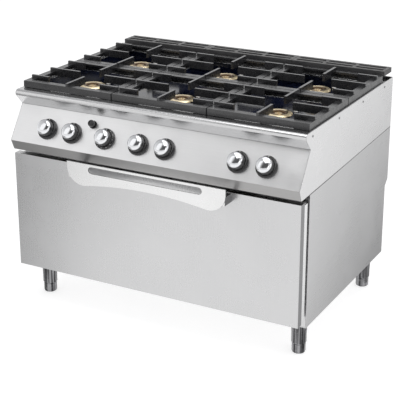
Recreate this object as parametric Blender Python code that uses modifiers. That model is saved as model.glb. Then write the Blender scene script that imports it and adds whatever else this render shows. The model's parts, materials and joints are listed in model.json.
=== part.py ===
"""Six-burner gas range on a full-width oven, built as separate sheet-metal, cast and turned pieces.

Frame: +Z up, -Y is the front, +X the cook's right. The origin lies on the floor at the middle of
the overall box. All lengths are in metres.
"""

import math

import bmesh
import bpy
from mathutils import Matrix, Vector

# ---------------------------------------------------------------- driving sizes
WIDTH = 1.200
DEPTH = 0.900
FLUE_TOP = 0.905
TOP_HEIGHT = 0.866
SEAM_HEIGHT = 0.638
SEAM_RISE = 0.024
BODY_BOTTOM = 0.1286
HANDLE_REACH = 0.035
GAP = 0.0003

SHEET = 0.0020
THIN_SHEET = 0.0015

FRONT = -(DEPTH + HANDLE_REACH) / 2 + HANDLE_REACH
REAR = FRONT + DEPTH
HALF = WIDTH / 2

# lower cabinet
CABINET_SETBACK = 0.090
REAR_RECESS = 0.027
REAR_RECESS_TOP = 0.418
REAR_STEP_TOP = 0.441

# control panel profile, measured back from the panel's front edge
PANEL_EDGE_HEIGHT = 0.678
NOTCH_SETBACK = 0.0825
NOTCH_HEIGHT = 0.803
LIP_SETBACK = 0.017
NOSE_SETBACK = 0.0435
NOSE_RADIUS = 0.014
NOSE_END_ANGLE = 222.0

# knobs, along the panel from its lower edge
KNOB_RISE = 0.065
KNOB_XS = (-0.450, -0.340, -0.195, -0.052, 0.058, 0.350, 0.460)
KNOB_RADIUS = 0.0400
KNOB_CAP_RADIUS = 0.029
KNOB_HEIGHT = 0.042
KNOB_STANDOFF = 0.0010
SHAFT_RADIUS = 0.004
SHAFT_HOLE_RADIUS = 0.006
TAP_FRONT_DEPTH = 0.014
TAP_RADIUS = 0.012
MANIFOLD_DEPTH = 0.085
MANIFOLD_RADIUS = 0.014
MANIFOLD_OVERHANG = 0.040

# igniter push-button
IGNITER_X = -0.262
IGNITER_RISE = 0.110
IGNITER_RADIUS = 0.0125
IGNITER_BEZEL_RADIUS = 0.0155
IGNITER_STEM_RADIUS = 0.0050
IGNITER_REACH = 0.0220
IGNITER_TRAVEL = 0.0050

# door
DOOR_SETBACK = 0.019
DOOR_TOP_GAP = 0.016
DOOR_BOTTOM_RISE = 0.0300
DOOR_SIDE_INSET = 0.0014
DOOR_SKIN_DEPTH = 0.031
DOOR_INNER_MARGIN = 0.008
DOOR_THICKNESS = 0.058
GASKET_WIDTH = 0.014
HINGE_RISE = 0.0040
HINGE_INSET = 0.0025

# handle
HANDLE_HALF = 0.3290
HANDLE_CENTRE_X = 0.009
HANDLE_TOP_RISE = 0.028
HANDLE_DEPTH = 0.0875
HANDLE_ARCH = 0.022
HANDLE_CORNER_WIDTH = 0.070
HANDLE_CORNER_HEIGHT = 0.064
HANDLE_PLATE = 0.0050
SLOT_HALF = 0.2360
SLOT_DROP = 0.009
SLOT_HEIGHT = 0.026
ARM_WIDTH = 0.022
ARM_HEIGHT = 0.032
ARM_DROP = 0.002

# oven
OVEN_HALF = 0.532
OVEN_DEPTH = 0.700
SOLE_TOP = 0.213
SOLE_THICKNESS = 0.008
OVEN_CEILING = 0.585
FRAME_LIP = 0.004
RACK_BAR = 0.007
RACK_BARS = 15
RACK_THICKNESS = 0.007
RUNNER_WIDTH = 0.014
RUNNER_HEIGHT = 0.008
RUNNER_INSET = 0.020
RUNNER_HEIGHTS = (0.300, 0.380, 0.460)
RACK_LEVEL = RUNNER_HEIGHTS[1]
RACK_CLEARANCE = 0.004
OVEN_BURNER_RADIUS = 0.012
OVEN_BURNER_HEIGHT = 0.172
OVEN_BURNER_HALF = 0.300

# hob
COLUMNS = 3
GRATE_DEPTH = 0.3545
GRATE_FRONT_SETBACK = 0.0875
GRATE_SIDE_INSET = 0.009
GRATE_GAP = 0.004
GRATE_FOOT_HEIGHT = 0.005
GRATE_FOOT = 0.014
GRATE_EDGE = 0.002
GRATE_RIM_TOP = 0.892
GRATE_TOP = 0.904
GRATE_FLANGE = 0.027
GRATE_WALL = 0.008
GRATE_FLANGE_THICKNESS = 0.008
FINGER_WIDTH = 0.010
FINGER_DEPTH = 0.030
FINGER_CLEAR_RADIUS = 0.056
SHORT_FINGER = 0.080
SHORT_FINGER_INSET = 0.055
GRATE_LEDGE = 0.020

TRAY_FLOOR = 0.812
TRAY_MARGIN = 0.006
CUP_RADIUS = 0.040
CUP_BOTTOM = 0.777
CUP_TOP = 0.8515
CUP_BORE_RADIUS = 0.024
CUP_BORE_DEPTH = 0.030
CUP_HOLE_CLEARANCE = 0.003
CROWN_RADIUS = 0.052
CROWN_TOP = 0.858
PILOT_X = 0.058
PILOT_Y = 0.022
PILOT_RADIUS = 0.005
PILOT_TOP = 0.863
RAIL_WIDTH = 0.030
RAIL_THICKNESS = 0.014

# flue
FLUE_DEPTH = 0.082
FLUE_THICKNESS = 0.020
FLUE_SIDE_INSET = 0.008
FLUE_PIECES = 3
FLUE_BAR = 0.016
FLUE_BRIDGE = 0.014
FLUE_SLOTS = 3
DUCT_SIDE_INSET = 0.050
DUCT_INSET = 0.007

# legs
LEG_SIDE_INSET = 0.049
LEG_FRONT_SETBACK = 0.145
LEG_REAR_INSET = 0.107
SLEEVE_TOP_RADIUS = 0.030
SLEEVE_LOW_RADIUS = 0.0285
SLEEVE_BOTTOM = 0.0425
FOOT_RADIUS = 0.026
FOOT_ROUND = 0.006
STEM_RADIUS = 0.010
STEM_CLEARANCE = 0.0006
STEM_TOP = 0.105

# gas connection
INLET_HEIGHT = 0.250
INLET_RADIUS = 0.010
INLET_NUT_RADIUS = 0.018

# ---------------------------------------------------------------- derived places
CABINET_FRONT = FRONT + CABINET_SETBACK
DOOR_FRONT = FRONT + DOOR_SETBACK
DOOR_BACK = DOOR_FRONT + DOOR_THICKNESS
DOOR_TOP = SEAM_HEIGHT - DOOR_TOP_GAP
DOOR_BOTTOM = BODY_BOTTOM + DOOR_BOTTOM_RISE
DOOR_HALF = HALF - DOOR_SIDE_INSET
DOOR_INNER_HALF = DOOR_HALF - DOOR_INNER_MARGIN
HANDLE_TOP = DOOR_TOP + HANDLE_TOP_RISE
HANDLE_BOTTOM = HANDLE_TOP - HANDLE_DEPTH
SLOT_TOP = HANDLE_TOP - SLOT_DROP
SLOT_BOTTOM = SLOT_TOP - SLOT_HEIGHT
ARM_TOP = DOOR_TOP - ARM_DROP
HANDLE_FRONT = FRONT - HANDLE_REACH
NOTCH_Y = FRONT + NOTCH_SETBACK
NOSE_Y = FRONT + NOSE_SETBACK
LIP_Y = FRONT + LIP_SETBACK
SEAM_SLOPE = SEAM_RISE / (REAR - LIP_Y)
SEAM_FRONT = SEAM_HEIGHT + SEAM_SLOPE * (CABINET_FRONT - LIP_Y)
SEAM_REAR = SEAM_HEIGHT + SEAM_RISE
INNER_HALF = HALF - SHEET - GAP
DUCT_HALF = HALF - DUCT_SIDE_INSET
LEG_X = HALF - LEG_SIDE_INSET
MANIFOLD_HALF = max(KNOB_XS) + MANIFOLD_OVERHANG
INLET_X = (OVEN_HALF + HALF) / 2 - THIN_SHEET

PANEL_TILT = math.atan2(NOTCH_SETBACK, NOTCH_HEIGHT - PANEL_EDGE_HEIGHT)
PANEL_UP = Vector((0.0, math.sin(PANEL_TILT), math.cos(PANEL_TILT)))
PANEL_OUT = Vector((0.0, -math.cos(PANEL_TILT), math.sin(PANEL_TILT)))

GRATE_BACK = FRONT + GRATE_FRONT_SETBACK + 2 * GRATE_DEPTH + GRATE_GAP
CELL_WIDTH = (2 * (HALF - GRATE_SIDE_INSET) + GRATE_GAP) / COLUMNS
COLUMN_XS = tuple((index - (COLUMNS - 1) / 2) * CELL_WIDTH for index in range(COLUMNS))
ROW_YS = (
    FRONT + GRATE_FRONT_SETBACK + GRATE_DEPTH / 2,
    FRONT + GRATE_FRONT_SETBACK + GRATE_DEPTH * 1.5 + GRATE_GAP,
)
GRATE_WIDTH = CELL_WIDTH - GRATE_GAP
SIDE_NAMES = ("left", "centre", "right")
ROW_NAMES = ("front", "rear")

TRAY_FRONT = NOTCH_Y + TRAY_MARGIN
FLUE_BACK = REAR - GAP
FLUE_FRONT = FLUE_BACK - FLUE_DEPTH
OVEN_FRONT = CABINET_FRONT + SHEET + GAP
OVEN_BACK = OVEN_FRONT + OVEN_DEPTH
HINGE_Y = DOOR_BACK - HINGE_INSET
HINGE_Z = DOOR_BOTTOM + HINGE_RISE


# ---------------------------------------------------------------- scene and materials
def clear_scene():
    """Remove every object so that the script starts from an empty file."""
    for item in list(bpy.data.objects):
        bpy.data.objects.remove(item, do_unlink=True)


def new_collection(name):
    """Make a collection and link it to the scene."""
    group = bpy.data.collections.new(name)
    bpy.context.scene.collection.children.link(group)
    return group


clear_scene()
RANGE = new_collection("gas_range")
CUTTERS = new_collection("cutters")

LOOKS = {
    "satin_steel": ((0.62, 0.62, 0.63), 0.32, 1.0),
    "panel_steel": ((0.80, 0.80, 0.81), 0.30, 1.0),
    "polished_steel": ((0.72, 0.72, 0.73), 0.12, 1.0),
    "aluminised_steel": ((0.45, 0.46, 0.47), 0.45, 1.0),
    "black_enamel": ((0.015, 0.017, 0.024), 0.18, 0.0),
    "cast_iron": ((0.045, 0.046, 0.050), 0.50, 0.0),
    "brass": ((0.78, 0.57, 0.28), 0.28, 1.0),
    "black_knob": ((0.012, 0.012, 0.013), 0.22, 0.0),
    "black_rubber": ((0.02, 0.02, 0.02), 0.70, 0.0),
    "chrome_wire": ((0.78, 0.78, 0.79), 0.10, 1.0),
}


def material_for(name, look):
    """Make the material of one piece from its named look."""
    colour, roughness, metallic = LOOKS[look]
    made = bpy.data.materials.new(name)
    made.use_nodes = True
    shader = made.node_tree.nodes["Principled BSDF"]
    shader.inputs["Base Color"].default_value = (*colour, 1.0)
    shader.inputs["Roughness"].default_value = roughness
    shader.inputs["Metallic"].default_value = metallic
    made.diffuse_color = (*colour, 1.0)
    return made


# ---------------------------------------------------------------- shape helpers
def place(name, mesh, look=None):
    """Turn a mesh into a named piece, or into a hidden cutter when it has no look."""
    item = bpy.data.objects.new(name, mesh)
    if look is None:
        CUTTERS.objects.link(item)
        item.hide_render = True
        item.display_type = "WIRE"
    else:
        RANGE.objects.link(item)
        mesh.materials.clear()
        mesh.materials.append(material_for(name, look))
    return item


def mesh_from(bm, name):
    """Write a bmesh into a new mesh with its faces pointing out."""
    bmesh.ops.recalc_face_normals(bm, faces=bm.faces[:])
    mesh = bpy.data.meshes.new(name)
    bm.to_mesh(mesh)
    bm.free()
    return mesh


def box(name, low, high, look=None):
    """A block between two corners."""
    size = [b - a for a, b in zip(low, high)]
    middle = [(a + b) / 2 for a, b in zip(low, high)]
    bm = bmesh.new()
    bmesh.ops.create_cube(bm, size=1.0, matrix=Matrix.Diagonal((*size, 1.0)))
    item = place(name, mesh_from(bm, name), look)
    item.location = middle
    return item


def pan(name, low, high, open_axis, open_side, wall, look):
    """A folded sheet pan: a block's skin with one side left open and a wall grown inwards."""
    item = box(name, low, high, look)
    bm = bmesh.new()
    bm.from_mesh(item.data)
    open_faces = [face for face in bm.faces if face.normal[open_axis] * open_side > 0.9]
    bmesh.ops.delete(bm, geom=open_faces, context="FACES")
    bm.to_mesh(item.data)
    bm.free()
    thicken(item, wall)
    return item


def thicken(item, wall, offset=-1.0):
    """Give an open surface its sheet thickness."""
    skin = item.modifiers.new("sheet", "SOLIDIFY")
    skin.thickness = wall
    skin.offset = offset
    skin.use_even_offset = True


def arc(centre, radius, start, end, steps):
    """Points along an arc, its angles in degrees."""
    turns = [math.radians(start + (end - start) * step / steps) for step in range(steps + 1)]
    return [(centre[0] + radius * math.cos(a), centre[1] + radius * math.sin(a)) for a in turns]


def plate(name, outlines, thickness, frame, look=None):
    """A flat outline with its holes, extruded to a plate and laid in the given frame."""
    curve = bpy.data.curves.new(name, "CURVE")
    curve.dimensions = "2D"
    curve.fill_mode = "BOTH"
    curve.extrude = thickness / 2
    for outline in outlines:
        spline = curve.splines.new("POLY")
        spline.points.add(len(outline) - 1)
        for point, (u, v) in zip(spline.points, outline):
            point.co = (u, v, 0.0, 1.0)
        spline.use_cyclic_u = True
    return solid_from_curve(name, curve, frame, look)


def tube(name, route, radius, look=None, sides=3):
    """A round bar or pipe along a route of points, with closed ends."""
    curve = bpy.data.curves.new(name, "CURVE")
    curve.dimensions = "3D"
    curve.bevel_depth = radius
    curve.bevel_resolution = sides
    curve.use_fill_caps = True
    spline = curve.splines.new("POLY")
    spline.points.add(len(route) - 1)
    for point, place_at in zip(spline.points, route):
        point.co = (*place_at, 1.0)
    return solid_from_curve(name, curve, Matrix.Identity(4), look)


def solid_from_curve(name, curve, frame, look):
    """Make a curve a mesh with welded caps."""
    carrier = bpy.data.objects.new(name + "_curve", curve)
    bpy.context.scene.collection.objects.link(carrier)
    bpy.context.view_layer.update()
    shaped = carrier.evaluated_get(bpy.context.evaluated_depsgraph_get())
    mesh = bpy.data.meshes.new_from_object(shaped)
    bpy.data.objects.remove(carrier, do_unlink=True)
    bm = bmesh.new()
    bm.from_mesh(mesh)
    bmesh.ops.remove_doubles(bm, verts=bm.verts[:], dist=0.00002)
    item = place(name, mesh_from(bm, name), look)
    item.matrix_world = frame
    return item


def turned(name, profile, frame, look=None, segments=24):
    """A turned piece: a profile of (radius, height) points swept round the frame's Z axis."""
    mesh = bpy.data.meshes.new(name)
    closed = profile[0][0] > 0.0
    count = len(profile)
    edges = [(index, index + 1) for index in range(count - 1)]
    if closed:
        edges.append((count - 1, 0))
    mesh.from_pydata([(radius, 0.0, height) for radius, height in profile], edges, [])
    item = place(name, mesh, look)
    item.matrix_world = frame
    sweep = item.modifiers.new("turn", "SCREW")
    sweep.steps = segments
    sweep.render_steps = segments
    sweep.use_merge_vertices = True
    sweep.merge_threshold = 0.00005
    sweep.use_smooth_shade = True
    return item


def at(x, y, z):
    """A frame at a point, its axes along the world's."""
    return Matrix.Translation((x, y, z))


def across_x(x):
    """A frame whose X and Y are the world's Y and Z, so that a plate in it faces +X."""
    return Matrix(((0, 0, 1, x), (1, 0, 0, 0), (0, 1, 0, 0), (0, 0, 0, 1)))


def facing_front(y):
    """A frame whose X and Y are the world's X and Z, so that a plate in it faces -Y."""
    return Matrix(((1, 0, 0, 0), (0, 0, -1, y), (0, 1, 0, 0), (0, 0, 0, 1)))


def on_panel(x, rise):
    """A frame on the sloping control panel: X along it, Y up it and Z out of it."""
    origin = Vector((x, FRONT, PANEL_EDGE_HEIGHT)) + PANEL_UP * rise
    out = PANEL_OUT
    return Matrix((
        (1, 0, 0, origin.x),
        (0, PANEL_UP.y, out.y, origin.y),
        (0, PANEL_UP.z, out.z, origin.z),
        (0, 0, 0, 1),
    ))


def bent_sheet(name, path, half_length, wall, out, look):
    """A folded sheet: a path in the Y-Z plane drawn out along X, its wall grown away from out."""
    bm = bmesh.new()
    row = [bm.verts.new((-half_length, y, z)) for y, z in path]
    edges = [bm.edges.new(pair) for pair in zip(row, row[1:])]
    drawn = bmesh.ops.extrude_edge_only(bm, edges=edges)
    moved = [part for part in drawn["geom"] if isinstance(part, bmesh.types.BMVert)]
    bmesh.ops.translate(bm, verts=moved, vec=(2 * half_length, 0, 0))
    bm.normal_update()
    widest = max(bm.faces, key=lambda face: face.calc_area())
    if widest.normal.dot(Vector(out)) < 0:
        bmesh.ops.reverse_faces(bm, faces=bm.faces[:])
    mesh = bpy.data.meshes.new(name)
    bm.to_mesh(mesh)
    bm.free()
    item = place(name, mesh, look)
    thicken(item, wall)
    return item


def subtract(item, cutter):
    """Cut one solid out of another."""
    cut = item.modifiers.new("cut", "BOOLEAN")
    cut.operation = "DIFFERENCE"
    cut.solver = "EXACT"
    cut.object = cutter


def unite(item, other):
    """Weld another solid on."""
    weld = item.modifiers.new("weld", "BOOLEAN")
    weld.operation = "UNION"
    weld.solver = "EXACT"
    weld.object = other


def cylinder(name, radius, low, high, frame, look=None, segments=24):
    """A plain cylinder along the frame's Z axis."""
    bm = bmesh.new()
    bmesh.ops.create_cone(
        bm, cap_ends=True, segments=segments, radius1=radius, radius2=radius,
        depth=high - low, matrix=at(0, 0, (low + high) / 2),
    )
    item = place(name, mesh_from(bm, name), look)
    item.matrix_world = frame
    return item


def rectangle(x0, x1, y0, y1):
    """The four corners of a rectangle."""
    return [(x0, y0), (x1, y0), (x1, y1), (x0, y1)]


# ---------------------------------------------------------------- lower cabinet
def lower_cabinet():
    """Side, base, rear and front sheets of the oven cabinet."""
    side = [
        (CABINET_FRONT, BODY_BOTTOM),
        (REAR - REAR_RECESS, BODY_BOTTOM),
        (REAR - REAR_RECESS, REAR_RECESS_TOP),
        (REAR, REAR_STEP_TOP),
        (REAR, SEAM_REAR - GAP),
        (CABINET_FRONT, SEAM_FRONT - GAP),
    ]
    for name, x in (("left", -HALF + SHEET / 2), ("right", HALF - SHEET / 2)):
        plate("lower_side_" + name, [side], SHEET, across_x(x), "satin_steel")

    back_y = REAR - REAR_RECESS - GAP
    box(
        "base_panel",
        (-INNER_HALF, CABINET_FRONT, BODY_BOTTOM),
        (INNER_HALF, back_y - SHEET - GAP, BODY_BOTTOM + SHEET),
        "satin_steel",
    )
    back_path = [
        (back_y, BODY_BOTTOM),
        (back_y, REAR_RECESS_TOP),
        (REAR - GAP, REAR_STEP_TOP),
        (REAR - GAP, SEAM_REAR - GAP),
    ]
    back = bent_sheet(
        "rear_panel_lower", back_path, INNER_HALF, SHEET, (0, 1, 0), "satin_steel",
    )
    subtract(back, cylinder(
        "inlet_hole", INLET_RADIUS + GAP * 5, -0.02, 0.02,
        facing_front(back_y) @ at(INLET_X, INLET_HEIGHT, 0),
    ))

    low = BODY_BOTTOM + SHEET + GAP
    high = SEAM_FRONT - GAP
    outer = rectangle(-INNER_HALF, INNER_HALF, low, high)
    opening = rectangle(
        -OVEN_HALF + FRAME_LIP, OVEN_HALF - FRAME_LIP, SOLE_TOP, OVEN_CEILING - FRAME_LIP,
    )
    plate(
        "front_frame", [outer, opening], SHEET,
        facing_front(CABINET_FRONT + SHEET / 2), "satin_steel",
    )


def oven():
    """Liner sheets with pressed runners, sole plate and burner of the oven."""
    floor = SOLE_TOP - SOLE_THICKNESS
    roof = OVEN_CEILING
    wall = THIN_SHEET
    for name, side in (("left", -1), ("right", 1)):
        inside = side * OVEN_HALF
        outside = side * (OVEN_HALF + wall)
        liner = box(
            "oven_liner_" + name,
            (min(inside, outside), OVEN_FRONT, floor),
            (max(inside, outside), OVEN_BACK - GAP, roof - GAP),
            "aluminised_steel",
        )
        x_root = side * (OVEN_HALF + wall / 2)
        x_shelf = side * (OVEN_HALF - RUNNER_WIDTH)
        for level, height in enumerate(RUNNER_HEIGHTS):
            unite(liner, box(
                f"runner_{name}_{level}",
                (min(x_root, x_shelf), OVEN_FRONT + RUNNER_INSET, height),
                (max(x_root, x_shelf), OVEN_BACK - RUNNER_INSET, height + RUNNER_HEIGHT),
            ))
    box(
        "oven_liner_top",
        (-OVEN_HALF - wall, OVEN_FRONT, roof),
        (OVEN_HALF + wall, OVEN_BACK - GAP, roof + wall),
        "aluminised_steel",
    )
    box(
        "oven_liner_back",
        (-OVEN_HALF - wall, OVEN_BACK, floor),
        (OVEN_HALF + wall, OVEN_BACK + wall, roof + wall),
        "aluminised_steel",
    )
    box(
        "sole_plate",
        (-OVEN_HALF + GAP, OVEN_FRONT, floor),
        (OVEN_HALF - GAP, OVEN_BACK - GAP, SOLE_TOP),
        "cast_iron",
    )
    near = OVEN_FRONT + OVEN_DEPTH * 0.25
    far = OVEN_FRONT + OVEN_DEPTH * 0.75
    bend = 0.06
    reach = OVEN_BURNER_HALF
    route = [(-reach, near, OVEN_BURNER_HEIGHT), (reach - bend, near, OVEN_BURNER_HEIGHT)]
    route += [(x, y, OVEN_BURNER_HEIGHT) for x, y in arc((reach - bend, near + bend), bend, -75, 0, 5)]
    route += [(x, y, OVEN_BURNER_HEIGHT) for x, y in arc((reach - bend, far - bend), bend, 0, 75, 5)]
    route += [(reach - bend, far, OVEN_BURNER_HEIGHT), (-reach, far, OVEN_BURNER_HEIGHT)]
    tube("oven_burner", route, OVEN_BURNER_RADIUS, "aluminised_steel")


def rack():
    """The wire rack that slides on the runners pressed into the oven's side liners."""
    half = OVEN_HALF - RACK_CLEARANCE
    front = OVEN_FRONT + RUNNER_INSET
    back = OVEN_BACK - RUNNER_INSET
    bar = RACK_BAR
    pitch = (2 * half - bar) / RACK_BARS
    holes = []
    for index in range(RACK_BARS):
        left = -half + bar + index * pitch
        holes.append(rectangle(left, left + pitch - bar, front + bar, back - bar))
    height = RACK_LEVEL + RUNNER_HEIGHT + GAP + RACK_THICKNESS / 2
    outer = rectangle(-half, half, front, back)
    plate("oven_rack", [outer] + holes, RACK_THICKNESS, at(0, 0, height), "chrome_wire")


# ---------------------------------------------------------------- hob body
def nose():
    """The rounded front edge of the worktop, from the flat top round and back to the notch."""
    centre = (NOSE_Y + NOSE_RADIUS, TOP_HEIGHT - NOSE_RADIUS)
    return arc(centre, NOSE_RADIUS, 90, NOSE_END_ANGLE, 6)


def hob_body():
    """Side, rear, worktop and control sheets of the hob module."""
    side = [(REAR, TOP_HEIGHT)] + nose() + [
        (NOTCH_Y, NOTCH_HEIGHT),
        (FRONT, PANEL_EDGE_HEIGHT),
        (LIP_Y, SEAM_HEIGHT + GAP),
        (REAR, SEAM_REAR + GAP),
    ]
    for name, x in (("left", -HALF + SHEET / 2), ("right", HALF - SHEET / 2)):
        plate("top_side_" + name, [side], SHEET, across_x(x), "satin_steel")
    box(
        "rear_panel_upper",
        (-INNER_HALF, REAR - GAP - SHEET, SEAM_REAR + GAP),
        (INNER_HALF, REAR - GAP, TOP_HEIGHT),
        "satin_steel",
    )

    top_back = FLUE_FRONT + DUCT_INSET - GAP
    path = [(top_back, TOP_HEIGHT)] + nose() + [(NOTCH_Y, NOTCH_HEIGHT + GAP)]
    worktop = bent_sheet("worktop", path, INNER_HALF, SHEET, (0, 0, 1), "satin_steel")
    for row, y in zip(ROW_NAMES, ROW_YS):
        for column, x in zip(SIDE_NAMES, COLUMN_XS):
            half_x = GRATE_WIDTH / 2 - GRATE_LEDGE
            half_y = GRATE_DEPTH / 2 - GRATE_LEDGE
            subtract(worktop, box(
                f"well_{row}_{column}",
                (x - half_x, max(y - half_y, TRAY_FRONT + THIN_SHEET), TOP_HEIGHT - 0.02),
                (x + half_x, y + half_y, TOP_HEIGHT + 0.02),
            ))

    fold = GAP + SHEET
    panel_path = [
        (NOTCH_Y, NOTCH_HEIGHT - GAP),
        (FRONT, PANEL_EDGE_HEIGHT),
        (LIP_Y, SEAM_HEIGHT + GAP),
        (LIP_Y + fold * 10, SEAM_HEIGHT + GAP),
    ]
    panel = bent_sheet(
        "control_panel", panel_path, INNER_HALF, SHEET, PANEL_OUT, "panel_steel",
    )
    for index, x in enumerate(KNOB_XS):
        subtract(panel, cylinder(
            f"shaft_hole_{index + 1}", SHAFT_HOLE_RADIUS, -0.01, 0.01,
            on_panel(x, KNOB_RISE), segments=16,
        ))
    subtract(panel, cylinder(
        "igniter_hole", IGNITER_BEZEL_RADIUS - 0.002 + GAP, -0.01, 0.01,
        on_panel(IGNITER_X, IGNITER_RISE), segments=16,
    ))


def knobs():
    """Seven turning knobs, each with a skirt, a domed cap and a shaft through the panel."""
    base = KNOB_STANDOFF
    cap = KNOB_CAP_RADIUS
    dome = [
        (cap * math.sin(math.radians(a)), KNOB_HEIGHT - 0.006 + 0.006 * math.cos(math.radians(a)))
        for a in (0, 30, 60, 90)
    ]
    profile = [(0.0, dome[0][1])] + dome[1:] + [
        (cap, KNOB_HEIGHT - 0.012),
        (KNOB_RADIUS - 0.004, KNOB_HEIGHT - 0.016),
        (KNOB_RADIUS, base + 0.006),
        (KNOB_RADIUS, base),
        (SHAFT_RADIUS, base),
        (SHAFT_RADIUS, -TAP_FRONT_DEPTH + GAP),
        (0.0, -TAP_FRONT_DEPTH + GAP),
    ]
    for index, x in enumerate(KNOB_XS):
        turned(f"knob_{index + 1}", profile, on_panel(x, KNOB_RISE), "black_knob", 24)


def gas_train():
    """Manifold with its taps, and the inlet pipe that rises beside the oven."""
    axis = on_panel(0.0, KNOB_RISE) @ Vector((0, 0, -MANIFOLD_DEPTH))
    along = Matrix(((0, 0, 1, 0), (1, 0, 0, axis.y), (0, 1, 0, axis.z), (0, 0, 0, 1)))
    manifold = cylinder(
        "gas_manifold", MANIFOLD_RADIUS, -MANIFOLD_HALF, MANIFOLD_HALF, along,
        "brass", segments=16,
    )
    for index, x in enumerate(KNOB_XS):
        unite(manifold, cylinder(
            f"tap_{index + 1}", TAP_RADIUS, -MANIFOLD_DEPTH, -TAP_FRONT_DEPTH,
            on_panel(x, KNOB_RISE), segments=12,
        ))

    bend = 0.030
    rear_face = REAR - REAR_RECESS + 0.020
    low = [(y, z) for y, z in arc((axis.y + bend, INLET_HEIGHT + bend), bend, -90, -180, 4)]
    high = [(x, z) for x, z in arc((INLET_X - bend, axis.z - bend), bend, 0, 90, 4)]
    route = [(INLET_X, rear_face, INLET_HEIGHT)]
    route += [(INLET_X, y, z) for y, z in low]
    route += [(x, axis.y, z) for x, z in high]
    route += [(MANIFOLD_HALF + GAP, axis.y, axis.z)]
    pipe = tube("gas_inlet", route, INLET_RADIUS, "satin_steel", sides=2)
    nut_low = REAR - REAR_RECESS + GAP
    unite(pipe, cylinder(
        "inlet_nut", INLET_NUT_RADIUS, -(rear_face + 0.002), -nut_low,
        Matrix(((1, 0, 0, INLET_X), (0, 0, -1, 0), (0, 1, 0, INLET_HEIGHT), (0, 0, 0, 1))),
        segments=6,
    ))


def igniter():
    """The igniter body with its bezel, and the push-button that slides in it."""
    frame = on_panel(IGNITER_X, IGNITER_RISE)
    bore = IGNITER_STEM_RADIUS + GAP * 2
    neck = IGNITER_BEZEL_RADIUS - 0.002
    body = [
        (bore, GAP + 0.003),
        (IGNITER_BEZEL_RADIUS, GAP + 0.003),
        (IGNITER_BEZEL_RADIUS, GAP),
        (neck, GAP),
        (neck, -0.040),
        (bore, -0.040),
    ]
    turned("igniter_body", body, frame, "black_knob", 16)
    under = GAP + 0.003 + IGNITER_TRAVEL + GAP
    button = [
        (0.0, IGNITER_REACH),
        (IGNITER_RADIUS - 0.002, IGNITER_REACH),
        (IGNITER_RADIUS, IGNITER_REACH - 0.002),
        (IGNITER_RADIUS, under),
        (IGNITER_STEM_RADIUS, under),
        (IGNITER_STEM_RADIUS, -0.030),
        (0.0, -0.030),
    ]
    turned("igniter_button", button, frame, "black_knob", 16)


# ---------------------------------------------------------------- burners and grates
def burner_cells():
    """The name and centre of each hob cell."""
    for row, y in zip(ROW_NAMES, ROW_YS):
        for column, x in zip(SIDE_NAMES, COLUMN_XS):
            yield row, column, x, y


def spill_tray():
    """The pressed tray under the burners, with a hole for each burner and pilot."""
    margin = TRAY_MARGIN
    top_back = FLUE_FRONT + DUCT_INSET - GAP
    tray = pan(
        "spill_tray",
        (-INNER_HALF + margin, TRAY_FRONT, TRAY_FLOOR - THIN_SHEET),
        (INNER_HALF - margin, top_back - margin, TOP_HEIGHT - SHEET - GAP),
        2, 1, THIN_SHEET, "black_enamel",
    )
    for row, column, x, y in burner_cells():
        hole = cylinder(
            f"cup_hole_{row}_{column}", CUP_RADIUS + CUP_HOLE_CLEARANCE,
            TRAY_FLOOR - 0.01, TRAY_FLOOR + 0.01, at(x, y, 0),
        )
        subtract(tray, hole)
        pilot = cylinder(
            f"pilot_hole_{row}_{column}", PILOT_RADIUS + CUP_HOLE_CLEARANCE,
            TRAY_FLOOR - 0.01, TRAY_FLOOR + 0.01, at(x + PILOT_X, y + PILOT_Y, 0), segments=12,
        )
        subtract(tray, pilot)


def burners():
    """A pair of cast cups on a rail for each column, and a brass crown on each cup."""
    front_y, rear_y = ROW_YS
    for column, x in zip(SIDE_NAMES, COLUMN_XS):
        rail = box(
            "burner_base_" + column,
            (x - RAIL_WIDTH / 2, front_y, CUP_BOTTOM),
            (x + RAIL_WIDTH / 2, rear_y, CUP_BOTTOM + RAIL_THICKNESS),
            "cast_iron",
        )
        for row, y in zip(ROW_NAMES, ROW_YS):
            tag = f"{row}_{column}"
            unite(rail, cylinder("cup_" + tag, CUP_RADIUS, CUP_BOTTOM - 0.001, CUP_TOP, at(x, y, 0)))
            unite(rail, box(
                "arm_" + tag,
                (x, y + PILOT_Y - 0.006, CUP_BOTTOM + 0.001),
                (x + PILOT_X, y + PILOT_Y + 0.006, CUP_BOTTOM + 0.010),
            ))
            unite(rail, cylinder(
                "pilot_" + tag, PILOT_RADIUS, CUP_BOTTOM + 0.002, PILOT_TOP,
                at(x + PILOT_X, y + PILOT_Y, 0), segments=12,
            ))
            subtract(rail, cylinder(
                "cup_bore_" + tag, CUP_BORE_RADIUS, CUP_TOP - CUP_BORE_DEPTH, CUP_TOP + 0.01,
                at(x, y, 0),
            ))
    crown = [
        (0.034, CROWN_TOP),
        (CROWN_RADIUS - 0.004, CROWN_TOP),
        (CROWN_RADIUS, CROWN_TOP - 0.004),
        (CROWN_RADIUS, CUP_TOP + GAP),
        (CUP_BORE_RADIUS - GAP * 2, CUP_TOP + GAP),
        (CUP_BORE_RADIUS - GAP * 2, CROWN_TOP - 0.003),
    ]
    for row, column, x, y in burner_cells():
        turned(f"burner_crown_{row}_{column}", crown, at(x, y, 0), "brass", 28)


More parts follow.
